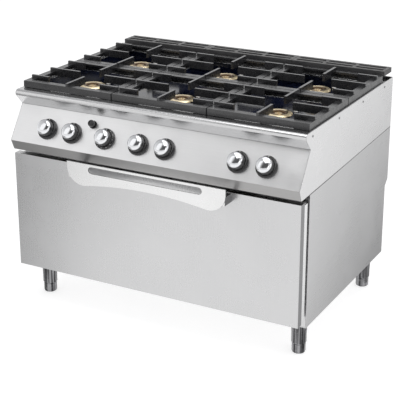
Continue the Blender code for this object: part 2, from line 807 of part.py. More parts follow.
def grates():
    """Six cast pan supports: a flanged rim, four long fingers and four short ones."""
    half_x = GRATE_WIDTH / 2
    half_y = GRATE_DEPTH / 2
    rest = TOP_HEIGHT + GRATE_FOOT_HEIGHT
    shelf = GRATE_RIM_TOP - GRATE_FLANGE_THICKNESS
    low = GRATE_TOP - FINGER_DEPTH
    wide = FINGER_WIDTH / 2
    for row, column, x, y in burner_cells():
        tag = f"{row}_{column}"
        outer = rectangle(-half_x, half_x, -half_y, half_y)
        inner = rectangle(
            -half_x + GRATE_FLANGE, half_x - GRATE_FLANGE,
            -half_y + GRATE_FLANGE, half_y - GRATE_FLANGE,
        )
        within = rectangle(
            -half_x + GRATE_WALL, half_x - GRATE_WALL,
            -half_y + GRATE_WALL, half_y - GRATE_WALL,
        )
        rim = plate(
            "grate_" + tag, [outer, inner], GRATE_FLANGE_THICKNESS,
            at(x, y, (shelf + GRATE_RIM_TOP) / 2), "cast_iron",
        )
        wall_top = shelf + GRATE_FLANGE_THICKNESS / 2
        unite(rim, plate(
            "grate_wall_" + tag, [outer, within], wall_top - rest, at(x, y, (wall_top + rest) / 2),
        ))
        for side_x, side_y in ((-1, -1), (1, -1), (-1, 1), (1, 1)):
            corner_x = x + side_x * (half_x - GRATE_FOOT / 2 - GRATE_EDGE)
            corner_y = y + side_y * (half_y - GRATE_FOOT / 2 - GRATE_EDGE)
            unite(rim, box(
                f"foot_{tag}_{side_x}_{side_y}",
                (corner_x - GRATE_FOOT / 2, corner_y - GRATE_FOOT / 2, TOP_HEIGHT + GAP),
                (corner_x + GRATE_FOOT / 2, corner_y + GRATE_FOOT / 2, wall_top),
            ))
        reach = FINGER_CLEAR_RADIUS
        edge = GRATE_EDGE
        inset = half_y - SHORT_FINGER_INSET
        runs = [
            (-half_x + edge, -reach, -wide, wide),
            (reach, half_x - edge, -wide, wide),
            (-wide, wide, -half_y + edge, -reach),
            (-wide, wide, reach, half_y - edge),
        ]
        for y_rib in (-inset, inset):
            runs.append((-half_x + edge, -half_x + SHORT_FINGER, y_rib - wide, y_rib + wide))
            runs.append((half_x - SHORT_FINGER, half_x - edge, y_rib - wide, y_rib + wide))
        for index, (x0, x1, y0, y1) in enumerate(runs):
            unite(rim, box(
                f"finger_{tag}_{index}", (x + x0, y + y0, low), (x + x1, y + y1, GRATE_TOP),
            ))


# ---------------------------------------------------------------- flue
def flue():
    """The exhaust duct behind the oven and the cast grille pieces on top of it."""
    duct = pan(
        "flue_duct",
        (-DUCT_HALF, FLUE_FRONT + DUCT_INSET, SEAM_HEIGHT - 0.05),
        (DUCT_HALF, REAR - GAP - SHEET - GAP, FLUE_TOP - FLUE_THICKNESS - GAP),
        2, 1, THIN_SHEET, "aluminised_steel",
    )
    subtract(duct, box(
        "duct_mouth",
        (-DUCT_HALF + THIN_SHEET, FLUE_FRONT + DUCT_INSET + THIN_SHEET, SEAM_HEIGHT - 0.06),
        (DUCT_HALF - THIN_SHEET, REAR - GAP * 2 - SHEET - THIN_SHEET, SEAM_HEIGHT - 0.04),
    ))
    piece = 2 * (HALF - FLUE_SIDE_INSET) / FLUE_PIECES
    half = piece / 2 - GAP
    outer = rectangle(-half, half, FLUE_FRONT, FLUE_BACK)
    slot_depth = (FLUE_DEPTH - 3 * FLUE_BAR) / 2
    slot_width = (2 * half - (FLUE_SLOTS + 1) * FLUE_BRIDGE) / FLUE_SLOTS
    holes = []
    for row in range(2):
        y0 = FLUE_FRONT + FLUE_BAR + row * (slot_depth + FLUE_BAR)
        for column in range(FLUE_SLOTS):
            x0 = -half + FLUE_BRIDGE + column * (slot_width + FLUE_BRIDGE)
            holes.append(rectangle(x0, x0 + slot_width, y0, y0 + slot_depth))
    for index in range(FLUE_PIECES):
        x = (index - (FLUE_PIECES - 1) / 2) * piece
        plate(
            "flue_grille_" + SIDE_NAMES[index], [outer] + holes, FLUE_THICKNESS,
            at(x, 0, FLUE_TOP - FLUE_THICKNESS / 2), "cast_iron",
        )


# ---------------------------------------------------------------- door
def door():
    """Outer skin, inner pan, gasket and handle of the drop-down oven door."""
    pan(
        "door_outer",
        (-DOOR_HALF, DOOR_FRONT, DOOR_BOTTOM),
        (DOOR_HALF, DOOR_FRONT + DOOR_SKIN_DEPTH, DOOR_TOP),
        1, 1, THIN_SHEET, "satin_steel",
    )
    margin = DOOR_INNER_MARGIN
    pan(
        "door_inner",
        (-DOOR_INNER_HALF, DOOR_FRONT + margin, DOOR_BOTTOM + margin),
        (DOOR_INNER_HALF, DOOR_BACK, DOOR_TOP - margin),
        1, -1, THIN_SHEET, "satin_steel",
    )
    seat = [
        (-OVEN_HALF - GASKET_WIDTH, SOLE_TOP - GASKET_WIDTH),
        (OVEN_HALF + GASKET_WIDTH, OVEN_CEILING + GASKET_WIDTH),
    ]
    (x0, z0), (x1, z1) = seat
    ring = [
        rectangle(x0, x1, z0, z1),
        rectangle(x0 + GASKET_WIDTH, x1 - GASKET_WIDTH, z0 + GASKET_WIDTH, z1 - GASKET_WIDTH),
    ]
    depth = CABINET_FRONT - DOOR_BACK - 2 * GAP
    plate(
        "door_gasket", ring, depth, facing_front(CABINET_FRONT - GAP - depth / 2), "black_rubber",
    )

    half = HANDLE_HALF
    low = HANDLE_BOTTOM
    flat = half - HANDLE_CORNER_WIDTH
    right_corner = [
        (flat + HANDLE_CORNER_WIDTH * u, low + HANDLE_CORNER_HEIGHT * (1 + v))
        for u, v in arc((0, 0), 1.0, 0, -90, 6)
    ]
    arch = [
        (flat * (1 - step / 6), low + HANDLE_ARCH * (1 - (1 - step / 6) ** 2))
        for step in range(1, 12)
    ]
    left_corner = [(-u, v) for u, v in reversed(right_corner)]
    outline = [(half, HANDLE_TOP)] + right_corner + arch + left_corner + [(-half, HANDLE_TOP)]
    radius = (SLOT_TOP - SLOT_BOTTOM) / 2
    middle = (SLOT_TOP + SLOT_BOTTOM) / 2
    slot = arc((SLOT_HALF - radius, middle), radius, -90, 90, 6)
    slot += arc((-SLOT_HALF + radius, middle), radius, 90, 270, 6)
    centre = Matrix.Translation((HANDLE_CENTRE_X, 0, 0))
    grip = plate(
        "door_handle", [outline, slot], HANDLE_PLATE,
        centre @ facing_front(HANDLE_FRONT + HANDLE_PLATE / 2), "satin_steel",
    )
    for name, side in (("left", -1), ("right", 1)):
        outside = HANDLE_CENTRE_X + side * (half - 0.004)
        inside = outside - side * ARM_WIDTH
        unite(grip, box(
            "handle_arm_" + name,
            (min(outside, inside), HANDLE_FRONT + HANDLE_PLATE / 2, ARM_TOP - ARM_HEIGHT),
            (max(outside, inside), DOOR_FRONT - GAP, ARM_TOP),
        ))


# ---------------------------------------------------------------- legs
def legs():
    """Four steel sleeves under the base, each with a threaded levelling foot."""
    bore = STEM_RADIUS + STEM_CLEARANCE
    top = BODY_BOTTOM - GAP
    sleeve = [
        (bore, top),
        (SLEEVE_TOP_RADIUS, top),
        (SLEEVE_LOW_RADIUS, SLEEVE_BOTTOM),
        (bore, SLEEVE_BOTTOM),
    ]
    round_edge = [
        (FOOT_RADIUS - FOOT_ROUND + u, FOOT_ROUND + v)
        for u, v in arc((0, 0), FOOT_ROUND, 0, -90, 3)
    ]
    foot = [(0.0, STEM_TOP), (STEM_RADIUS, STEM_TOP), (STEM_RADIUS, SLEEVE_BOTTOM - GAP)]
    foot += [(FOOT_RADIUS, SLEEVE_BOTTOM - GAP)] + round_edge + [(0.0, 0.0)]
    spots = {
        "front_left": (-LEG_X, FRONT + LEG_FRONT_SETBACK),
        "front_right": (LEG_X, FRONT + LEG_FRONT_SETBACK),
        "rear_left": (-LEG_X, REAR - LEG_REAR_INSET),
        "rear_right": (LEG_X, REAR - LEG_REAR_INSET),
    }
    for name, (x, y) in spots.items():
        turned("leg_sleeve_" + name, sleeve, at(x, y, 0), "polished_steel", 20)
        turned("leg_foot_" + name, foot, at(x, y, 0), "polished_steel", 20)


lower_cabinet()
oven()
rack()
hob_body()
knobs()
gas_train()
igniter()
spill_tray()
burners()
grates()
flue()
door()
legs()
bpy.context.view_layer.update()
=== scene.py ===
"""The looks of a six-burner gas range on a full-width oven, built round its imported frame."""

import json
import math

import bpy
from mathutils import Matrix, Vector

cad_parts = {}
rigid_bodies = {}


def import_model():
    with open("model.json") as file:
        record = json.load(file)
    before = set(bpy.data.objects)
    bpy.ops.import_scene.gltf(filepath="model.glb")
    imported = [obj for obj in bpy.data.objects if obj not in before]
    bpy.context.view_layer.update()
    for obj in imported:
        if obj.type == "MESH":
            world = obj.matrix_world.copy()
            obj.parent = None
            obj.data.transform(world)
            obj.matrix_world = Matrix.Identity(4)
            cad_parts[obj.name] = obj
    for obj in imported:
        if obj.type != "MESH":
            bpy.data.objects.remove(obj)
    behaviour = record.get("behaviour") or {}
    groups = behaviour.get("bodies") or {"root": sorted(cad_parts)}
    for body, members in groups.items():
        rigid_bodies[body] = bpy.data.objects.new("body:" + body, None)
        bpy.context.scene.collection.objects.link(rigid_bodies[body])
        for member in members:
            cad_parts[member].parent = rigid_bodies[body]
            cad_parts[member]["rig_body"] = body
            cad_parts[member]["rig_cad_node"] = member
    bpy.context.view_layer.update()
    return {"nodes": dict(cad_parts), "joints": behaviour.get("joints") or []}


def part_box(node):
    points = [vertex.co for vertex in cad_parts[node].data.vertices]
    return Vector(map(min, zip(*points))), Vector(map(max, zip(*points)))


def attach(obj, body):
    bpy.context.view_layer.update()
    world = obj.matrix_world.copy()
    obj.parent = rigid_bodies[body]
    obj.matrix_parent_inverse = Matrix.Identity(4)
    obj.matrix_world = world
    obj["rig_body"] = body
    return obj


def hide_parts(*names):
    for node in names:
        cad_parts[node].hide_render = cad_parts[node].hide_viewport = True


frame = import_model()
nodes = frame["nodes"]

# ---------------------------------------------------------------- studio
# A pale seamless floor, an even white room, large soft lamps and graded cards that only the
# steel reflects. A long lens looks down on the range's front and right side.

eye = bpy.data.cameras.new("studio_camera")
eye.lens = 104.5
eye.sensor_width = 36.0
eye.shift_y = -0.1
eye.clip_end = 60.0
camera = bpy.data.objects.new("studio_camera", eye)
camera.location = (2.0322, -3.7989, 2.0464)
camera.rotation_euler = (math.radians(71.0), 0.0, math.radians(28.3))
bpy.context.scene.collection.objects.link(camera)
bpy.context.scene.camera = camera
bpy.context.scene.view_settings.view_transform = "Standard"

bpy.ops.object.select_all(action="DESELECT")
bpy.ops.mesh.primitive_plane_add(size=40.0, location=(0.0, 0.0, -0.0005))
floor = bpy.context.object
floor.name = "studio_floor"
floor_paint = bpy.data.materials.new("studio_floor_paint")
floor_paint.use_nodes = True
floor_shader = floor_paint.node_tree.nodes["Principled BSDF"]
floor_shader.inputs["Base Color"].default_value = (0.55, 0.55, 0.55, 1.0)
floor_shader.inputs["Roughness"].default_value = 0.9
floor_shader.inputs["Specular IOR Level"].default_value = 0.1
floor_shader.inputs["Emission Color"].default_value = (1.0, 1.0, 1.0, 1.0)
floor_shader.inputs["Emission Strength"].default_value = 0.68
floor.data.materials.append(floor_paint)

room = bpy.data.worlds.new("studio_room")
bpy.context.scene.world = room
room.use_nodes = True
air = room.node_tree
air.nodes["Background"].inputs["Strength"].default_value = 1.05
direction = air.nodes.new("ShaderNodeTexCoord")
upward = air.nodes.new("ShaderNodeSeparateXYZ")
height_ramp = air.nodes.new("ShaderNodeValToRGB")
height_ramp.color_ramp.elements[0].position = 0.0
height_ramp.color_ramp.elements[0].color = (1.0, 1.0, 1.0, 1.0)
height_ramp.color_ramp.elements[1].position = 0.85
height_ramp.color_ramp.elements[1].color = (0.50, 0.50, 0.51, 1.0)
air.links.new(direction.outputs["Generated"], upward.inputs[0])
air.links.new(upward.outputs["Z"], height_ramp.inputs["Fac"])
air.links.new(height_ramp.outputs["Color"], air.nodes["Background"].inputs["Color"])


def soft_lamp(name, place, target, width, height, power):
    """Hang a rectangular soft lamp that points at a target."""
    light = bpy.data.lights.new(name, "AREA")
    light.shape = "RECTANGLE"
    light.size = width
    light.size_y = height
    light.energy = power
    lamp = bpy.data.objects.new(name, light)
    lamp.location = place
    aim = Vector(target) - Vector(place)
    lamp.rotation_euler = aim.to_track_quat("-Z", "Y").to_euler()
    bpy.context.scene.collection.objects.link(lamp)
    return lamp


def graded_card(name, low, high, direction, run, tones):
    """Stand a lit card that only polished metal sees, graded along a direction in its plane."""
    middle = [(a + b) / 2 for a, b in zip(low, high)]
    bpy.ops.object.select_all(action="DESELECT")
    size = [b - a for a, b in zip(low, high)]
    bpy.ops.mesh.primitive_cube_add(size=1.0, location=middle, scale=size)
    card = bpy.context.object
    card.name = name
    bpy.ops.object.transform_apply(location=True, rotation=False, scale=True)
    cloth = bpy.data.materials.new(name + "_cloth")
    cloth.use_nodes = True
    tree = cloth.node_tree
    shader = tree.nodes["Principled BSDF"]
    shader.inputs["Base Color"].default_value = (0.0, 0.0, 0.0, 1.0)
    place = tree.nodes.new("ShaderNodeTexCoord")
    along = tree.nodes.new("ShaderNodeVectorMath")
    along.operation = "DOT_PRODUCT"
    along.inputs[1].default_value = direction
    tree.links.new(place.outputs["Object"], along.inputs[0])
    grade = tree.nodes.new("ShaderNodeMapRange")
    for socket, value in zip(("From Min", "From Max", "To Min", "To Max"), (*run, *tones)):
        grade.inputs[socket].default_value = value
    tree.links.new(along.outputs["Value"], grade.inputs["Value"])
    shader.inputs["Emission Color"].default_value = (1.0, 1.0, 1.0, 1.0)
    tree.links.new(grade.outputs["Result"], shader.inputs["Emission Strength"])
    card.data.materials.append(cloth)
    card.visible_camera = False
    card.visible_diffuse = False
    card.visible_shadow = False
    return card


soft_lamp("overhead_lamp", (0.4, -0.8, 3.4), (0.1, -0.2, 0.6), 3.0, 2.4, 45.0)
soft_lamp("right_front_lamp", (2.4, -3.4, 2.2), (0.2, -1.2, 0.0), 1.8, 1.8, 8.0)
soft_lamp("right_lamp", (3.8, -0.4, 2.0), (0.9, 0.0, 0.2), 1.6, 1.6, 12.0)
graded_card("front_floor_card", (-4.0, -4.0, 0.0), (3.0, -0.44, 0.001),
            (1.0, -0.6, 0.0), (-0.60, 0.05), (0.36, 1.0))
graded_card("right_floor_card", (0.61, -0.44, 0.0), (4.0, 4.0, 0.001),
            (2.2, -0.55, 0.0), (1.2, 2.1), (0.38, 1.08))
graded_card("front_card", (-4.20, -3.70, 2.2), (1.60, -3.66, 6.0),
            (1.0, 0.0, 0.0), (-2.15, -1.45), (1.12, 0.06))

# ---------------------------------------------------------------- steel sheets
# The cabinet's flat walls are 2 mm stainless sheet, brushed at the mill and folded on a press.
# The grain runs along each sheet's length, with faint clouds and scratches from cleaning.


def new_group(name, inputs, outputs):
    """Start a shader node group with float, colour or vector sockets."""
    kinds = {"f": "NodeSocketFloat", "c": "NodeSocketColor", "v": "NodeSocketVector"}
    group = bpy.data.node_groups.new(name, "ShaderNodeTree")
    for socket, kind, value in inputs:
        made = group.interface.new_socket(socket, in_out="INPUT", socket_type=kinds[kind])
        if value is not None:
            made.default_value = value
    for socket, kind in outputs:
        group.interface.new_socket(socket, in_out="OUTPUT", socket_type=kinds[kind])
    entry = group.nodes.new("NodeGroupInput")
    leave = group.nodes.new("NodeGroupOutput")
    return group, entry, leave


def noise_in(tree, scale, detail, source=None, rough=0.5):
    """Add a noise texture to a node tree and return its mask socket."""
    noise = tree.nodes.new("ShaderNodeTexNoise")
    noise.inputs["Scale"].default_value = scale
    noise.inputs["Detail"].default_value = detail
    noise.inputs["Roughness"].default_value = rough
    if source is not None:
        tree.links.new(source, noise.inputs["Vector"])
    return noise.outputs["Fac"]


def map_range(tree, source, low, high, to_low, to_high):
    """Add a clamped range map to a node tree and return its result socket."""
    node = tree.nodes.new("ShaderNodeMapRange")
    node.inputs["From Min"].default_value = low
    node.inputs["From Max"].default_value = high
    node.inputs["To Min"].default_value = to_low
    node.inputs["To Max"].default_value = to_high
    tree.links.new(source, node.inputs["Value"])
    return node.outputs["Result"]


def calc(tree, operation, first, second):
    """Add a maths node; each term is a socket or a number."""
    node = tree.nodes.new("ShaderNodeMath")
    node.operation = operation
    for slot_index, term in enumerate((first, second)):
        if isinstance(term, (int, float)):
            node.inputs[slot_index].default_value = term
        else:
            tree.links.new(term, node.inputs[slot_index])
    return node.outputs[0]


def blend_colours(tree, factor, first, second, mode="MIX"):
    """Add a colour mix; each colour is a socket or a tuple."""
    node = tree.nodes.new("ShaderNodeMix")
    node.data_type = "RGBA"
    node.blend_type = mode
    if isinstance(factor, (int, float)):
        node.inputs["Factor"].default_value = factor
    else:
        tree.links.new(factor, node.inputs["Factor"])
    for key, term in (("A", first), ("B", second)):
        socket = [s for s in node.inputs if s.name == key and s.type == "RGBA"][0]
        if isinstance(term, tuple):
            socket.default_value = term
        else:
            tree.links.new(term, socket)
    return [s for s in node.outputs if s.type == "RGBA"][0]


def mapped(tree, stretch=(1.0, 1.0, 1.0), turn=(0.0, 0.0, 0.0), shift=(0.0, 0.0, 0.0)):
    """Object coordinates, shifted, turned and stretched."""
    place = tree.nodes.new("ShaderNodeTexCoord")
    mapping = tree.nodes.new("ShaderNodeMapping")
    mapping.inputs["Location"].default_value = shift
    mapping.inputs["Rotation"].default_value = turn
    mapping.inputs["Scale"].default_value = stretch
    tree.links.new(place.outputs["Object"], mapping.inputs["Vector"])
    return mapping.outputs["Vector"]


def finish_from(tree, shader, colour, roughness):
    """Feed a shader's colour and roughness."""
    tree.links.new(colour, shader.inputs["Base Color"])
    tree.links.new(roughness, shader.inputs["Roughness"])


def bump_from(tree, shader, height, strength, distance):
    """Let a height socket raise the surface a little."""
    relief = tree.nodes.new("ShaderNodeBump")
    relief.inputs["Strength"].default_value = strength
    relief.inputs["Distance"].default_value = distance
    tree.links.new(height, relief.inputs["Height"])
    tree.links.new(relief.outputs["Normal"], shader.inputs["Normal"])


def start_material(name, metallic=0.0):
    """A new node material with its tree and its shader."""
    material = bpy.data.materials.new(name)
    material.use_nodes = True
    tree = material.node_tree
    shader = tree.nodes["Principled BSDF"]
    shader.inputs["Metallic"].default_value = metallic
    return material, tree, shader


grain_group, grain_in, grain_out = new_group(
    "brushed_grain",
    [("Grain Vector", "v", None), ("Place", "v", None), ("Tint", "c", (0.6, 0.6, 0.6, 1.0)),
     ("Roughness", "f", 0.3), ("Contrast", "f", 0.06)],
    [("Color", "c"), ("Roughness", "f"), ("Height", "f")],
)
fine = noise_in(grain_group, 1.0, 3.0, grain_in.outputs["Grain Vector"], 0.65)
cloud = noise_in(grain_group, 2.3, 4.0, grain_in.outputs["Place"], 0.6)
smear = noise_in(grain_group, 9.0, 3.0, grain_in.outputs["Place"], 0.7)
streak = map_range(grain_group, fine, 0.3, 0.7, -1.0, 1.0)
streak_amount = calc(grain_group, "MULTIPLY", streak, grain_in.outputs["Contrast"])
cloud_amount = map_range(grain_group, cloud, 0.35, 0.65, -0.03, 0.03)
brightness = calc(grain_group, "ADD", calc(grain_group, "ADD", streak_amount, cloud_amount), 1.0)
scaled = grain_group.nodes.new("ShaderNodeVectorMath")
scaled.operation = "SCALE"
grain_group.links.new(grain_in.outputs["Tint"], scaled.inputs[0])
grain_group.links.new(brightness, scaled.inputs["Scale"])
grain_group.links.new(scaled.outputs[0], grain_out.inputs["Color"])
smear_amount = map_range(grain_group, smear, 0.45, 0.75, -0.02, 0.07)
streak_rough = calc(grain_group, "MULTIPLY", streak_amount, 0.6)
rough_total = calc(
    grain_group, "ADD",
    calc(grain_group, "ADD", grain_in.outputs["Roughness"], smear_amount), streak_rough,
)
grain_group.links.new(rough_total, grain_out.inputs["Roughness"])
grain_group.links.new(fine, grain_out.inputs["Height"])

scratch_group, scratch_in, scratch_out = new_group(
    "fine_scratches", [("Place", "v", None), ("Amount", "f", 0.3)], [("Mask", "f")],
)
scratch_masks = []
for turn, scale in (((0.5, 0.3, 0.6), (9.0, 420.0, 420.0)), ((-0.4, 0.7, -0.9), (7.0, 360.0, 360.0))):
    lie = scratch_group.nodes.new("ShaderNodeMapping")
    lie.inputs["Rotation"].default_value = turn
    lie.inputs["Scale"].default_value = scale
    scratch_group.links.new(scratch_in.outputs["Place"], lie.inputs["Vector"])
    lines = noise_in(scratch_group, 1.0, 1.0, lie.outputs["Vector"], 0.3)
    scratch_masks.append(map_range(scratch_group, lines, 0.70, 0.76, 0.0, 1.0))
both = calc(scratch_group, "MAXIMUM", scratch_masks[0], scratch_masks[1])
amount = calc(scratch_group, "MULTIPLY", both, scratch_in.outputs["Amount"])
scratch_group.links.new(amount, scratch_out.inputs["Mask"])


def brushed_metal(name, tint, roughness, stretch, contrast=0.06, bump=0.05, scratches=0.25):
    """A brushed metal whose grain is stretched by a scale along each axis."""
    material, tree, shader = start_material(name, 1.0)
    place = mapped(tree)
    group = tree.nodes.new("ShaderNodeGroup")
    group.node_tree = grain_group
    group.inputs["Tint"].default_value = (*tint, 1.0)
    group.inputs["Roughness"].default_value = roughness
    group.inputs["Contrast"].default_value = contrast
    scratch = tree.nodes.new("ShaderNodeGroup")
    scratch.node_tree = scratch_group
    scratch.inputs["Amount"].default_value = scratches
    tree.links.new(mapped(tree, stretch), group.inputs["Grain Vector"])
    tree.links.new(place, group.inputs["Place"])
    tree.links.new(place, scratch.inputs["Place"])
    bright = tuple(min(1.0, value * 1.3) for value in tint) + (1.0,)
    colour = blend_colours(tree, scratch.outputs["Mask"], group.outputs["Color"], bright)
    tree.links.new(colour, shader.inputs["Base Color"])
    rough = calc(tree, "ADD", group.outputs["Roughness"],
                 calc(tree, "MULTIPLY", scratch.outputs["Mask"], -0.12))
    tree.links.new(rough, shader.inputs["Roughness"])
    bump_from(tree, shader, group.outputs["Height"], bump, 0.0005)
    return material


def paint(item, material):
    """Give a piece its one material."""
    item.data.materials.clear()
    item.data.materials.append(material)


def settle(piece, material, body, slot, *stands_for):
    """Paint a finished piece, hide the frame parts it stands for and hang it on its body."""
    paint(piece, material)
    if stands_for:
        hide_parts(*stands_for)
    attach(piece, body)
    return piece


def pick(piece):
    """Leave one piece alone selected and active."""
    bpy.ops.object.select_all(action="DESELECT")
    bpy.context.view_layer.objects.active = piece
    piece.select_set(True)


def copy_of(node, name, flats=True):
    """A merged copy of a frame node, its triangles joined into flat faces where that is asked."""
    bpy.ops.object.select_all(action="DESELECT")
    piece = nodes[node].copy()
    piece.data = nodes[node].data.copy()
    piece.parent = None
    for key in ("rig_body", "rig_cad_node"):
        del piece[key]
    piece.name = name
    bpy.context.scene.collection.objects.link(piece)
    bpy.context.view_layer.objects.active = piece
    piece.select_set(True)
    bpy.ops.object.mode_set(mode="EDIT")
    bpy.ops.mesh.select_all(action="SELECT")
    bpy.ops.mesh.remove_doubles(threshold=0.00003)
    if flats:
        bpy.ops.mesh.dissolve_limited(angle_limit=math.radians(0.6))
    bpy.ops.object.mode_set(mode="OBJECT")
    return piece


def soften(piece, radius, segments=2, angle=25.0, smooth=35.0):
    """Round a piece's sharp edges and shade its curves smooth."""
    pick(piece)
    if radius > 0.0:
        edge = piece.modifiers.new("edge", "BEVEL")
        edge.width = radius
        edge.segments = segments
        edge.limit_method = "ANGLE"
        edge.angle_limit = math.radians(angle)
        edge.harden_normals = False
        bpy.ops.object.modifier_apply(modifier="edge")
    bpy.ops.object.shade_smooth_by_angle(angle=math.radians(smooth))
    flats = piece.modifiers.new("flats", "WEIGHTED_NORMAL")
    flats.keep_sharp = True
    bpy.ops.object.modifier_apply(modifier="flats")
    return piece


def sheet_from(node, name, radius, material, body="cabinet", segments=2, slot="satin_steel"):
    """A finished copy of a frame node: welded, its flats cleaned and its edges rounded."""
    piece = soften(copy_of(node, name), radius, segments)
    return settle(piece, material, body, slot, node)


SHEET_TINT = (0.60, 0.60, 0.605)
SIDE_GRAIN = (900.0, 6.0, 900.0)
# The lower and the upper side sheets are one steel in two tints: the upper is painted lighter and the lower
# painted darker, as painted light and shade.
lower_side_painted_darker = brushed_metal("side_sheet_steel", (0.53, 0.53, 0.535), 0.30, SIDE_GRAIN, 0.022, 0.006, 0.03)
upper_side_painted_lighter = brushed_metal("upper_side_painted_lighter", (0.66, 0.66, 0.665), 0.29, SIDE_GRAIN,
                                 0.022, 0.006, 0.03)
front_steel = brushed_metal("front_sheet_steel", SHEET_TINT, 0.30, (6.0, 900.0, 900.0), 0.04, 0.03, 0.12)

for side in ("left", "right"):
    sheet_from("lower_side_" + side, "lower_side_sheet_" + side, 0.0007, lower_side_painted_darker)
    sheet_from("top_side_" + side, "top_side_sheet_" + side, 0.0007, upper_side_painted_lighter)
for wall in ("rear_panel_lower", "rear_panel_upper", "base_panel"):
    sheet_from(wall, wall + "_sheet", 0.0004, front_steel)
sheet_from("front_frame", "front_frame_sheet", 0.0004, front_steel)

# ---------------------------------------------------------------- sheet screws
# Small stainless pan-head screws with a cross recess hold the hob's side and rear sheets to
# the frame inside. Each head is headed cold, then stands 1.5 mm proud of the sheet.

screw_steel = brushed_metal("screw_steel", (0.20, 0.20, 0.205), 0.34, (300.0, 300.0, 300.0), 0.10)


def round_blank(name, rings, sides=24):
    """Draw a round piece up from a disc: each ring is a radius and a height."""
    bpy.ops.object.select_all(action="DESELECT")
    bpy.ops.mesh.primitive_circle_add(vertices=sides, radius=rings[0][0], fill_type="NGON",
                                      location=(0.0, 0.0, rings[0][1]))
    piece = bpy.context.object
    piece.name = name
    piece.data.name = name
    bpy.ops.object.transform_apply(location=True, rotation=False, scale=False)
    bpy.ops.object.mode_set(mode="EDIT")
    bpy.ops.mesh.select_all(action="SELECT")
    radius, height = rings[0]
    for next_radius, next_height in rings[1:]:
        bpy.ops.mesh.extrude_region_move(
            TRANSFORM_OT_translate={"value": (0.0, 0.0, next_height - height)})
        share = next_radius / radius
        bpy.ops.transform.resize(value=(share, share, 1.0), center_override=(0.0, 0.0, next_height))
        radius, height = next_radius, next_height
    bpy.ops.mesh.select_all(action="SELECT")
    bpy.ops.mesh.normals_make_consistent(inside=False)
    bpy.ops.object.mode_set(mode="OBJECT")
    return piece


def block(name, low, high):
    """Add a block between two corners, its place in its mesh."""
    middle = [(a + b) / 2 for a, b in zip(low, high)]
    size = [b - a for a, b in zip(low, high)]
    bpy.ops.object.select_all(action="DESELECT")
    bpy.ops.mesh.primitive_cube_add(size=1.0, location=middle, scale=size)
    piece = bpy.context.object
    piece.name = name
    piece.data.name = name
    bpy.ops.object.transform_apply(location=True, rotation=False, scale=True)
    return piece


def cut_with(piece, cutter):
    """Cut one shape out of a piece and drop the cutter."""
    pick(piece)
    cut = piece.modifiers.new("cut", "BOOLEAN")
    cut.operation = "DIFFERENCE"
    cut.solver = "EXACT"
    cut.object = cutter
    bpy.ops.object.modifier_apply(modifier="cut")
    bpy.data.objects.remove(cutter, do_unlink=True)
    return piece


def joined(name, pieces):
    """Make several shapes one piece."""
    bpy.ops.object.select_all(action="DESELECT")
    for piece in pieces:
        piece.select_set(True)
    bpy.context.view_layer.objects.active = pieces[0]
    if len(pieces) > 1:
        bpy.ops.object.join()
    pieces[0].name = name
    return pieces[0]


def seated_copy(master, name, matrix):
    """A copy of a master shape, its place written into its own mesh."""
    piece = master.copy()
    piece.data = master.data.copy()
    piece.name = name
    piece.data.name = name
    piece.data.transform(matrix)
    bpy.context.scene.collection.objects.link(piece)
    return piece


def facing(place, out, up=(0.0, 0.0, 1.0)):
    """A frame at a place, its Z pointing out and its Y as near up as it can be."""
    z_axis = Vector(out).normalized()
    x_axis = Vector(up).cross(z_axis).normalized()
    y_axis = z_axis.cross(x_axis)
    return Matrix((
        (x_axis.x, y_axis.x, z_axis.x, place[0]),
        (x_axis.y, y_axis.y, z_axis.y, place[1]),
        (x_axis.z, y_axis.z, z_axis.z, place[2]),
        (0.0, 0.0, 0.0, 1.0),
    ))


screw_master = round_blank("screw_master", [
    (0.0044, 0.0), (0.0044, 0.0005), (0.0039, 0.0011), (0.0026, 0.0015),
], 20)
cut_with(screw_master, block("recess_one", (-0.0020, -0.0004, 0.0007), (0.0020, 0.0004, 0.0030)))
cut_with(screw_master, block("recess_two", (-0.0004, -0.0020, 0.0007), (0.0004, 0.0020, 0.0030)))
soften(screw_master, 0.0002, 1, 30.0, 40.0)
high_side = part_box("top_side_right")[1]
SCREW_LINE = high_side.z - 0.0185
SIDE_SCREW_YS = (-0.336, -0.098, 0.139, 0.372)
REAR_SCREW_XS = (-0.56, -0.28, 0.0, 0.28, 0.56)
REAR_SCREW_INSET = 0.018
for side, sign in (("left", -1.0), ("right", 1.0)):
    heads = []
    for number, y in enumerate(SIDE_SCREW_YS):
        frame_at = facing((sign * high_side.x, y, SCREW_LINE), (sign, 0.0, 0.0))
        heads.append(seated_copy(screw_master, f"side_screw_{side}_{number}", frame_at))
    settle(joined("side_screws_" + side, heads), screw_steel, "cabinet", "satin_steel")
rear_low, rear_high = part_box("rear_panel_upper")
back_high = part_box("rear_panel_lower")[1]
heads = []
for number, x in enumerate(REAR_SCREW_XS):
    upper = facing((x, rear_high.y, rear_low.z + REAR_SCREW_INSET), (0.0, 1.0, 0.0))
    lower = facing((x, back_high.y, back_high.z - REAR_SCREW_INSET), (0.0, 1.0, 0.0))
    heads.append(seated_copy(screw_master, f"rear_screw_upper_{number}", upper))
    heads.append(seated_copy(screw_master, f"rear_screw_lower_{number}", lower))
settle(joined("rear_screws", heads), screw_steel, "cabinet", "satin_steel")
bpy.data.objects.remove(screw_master, do_unlink=True)
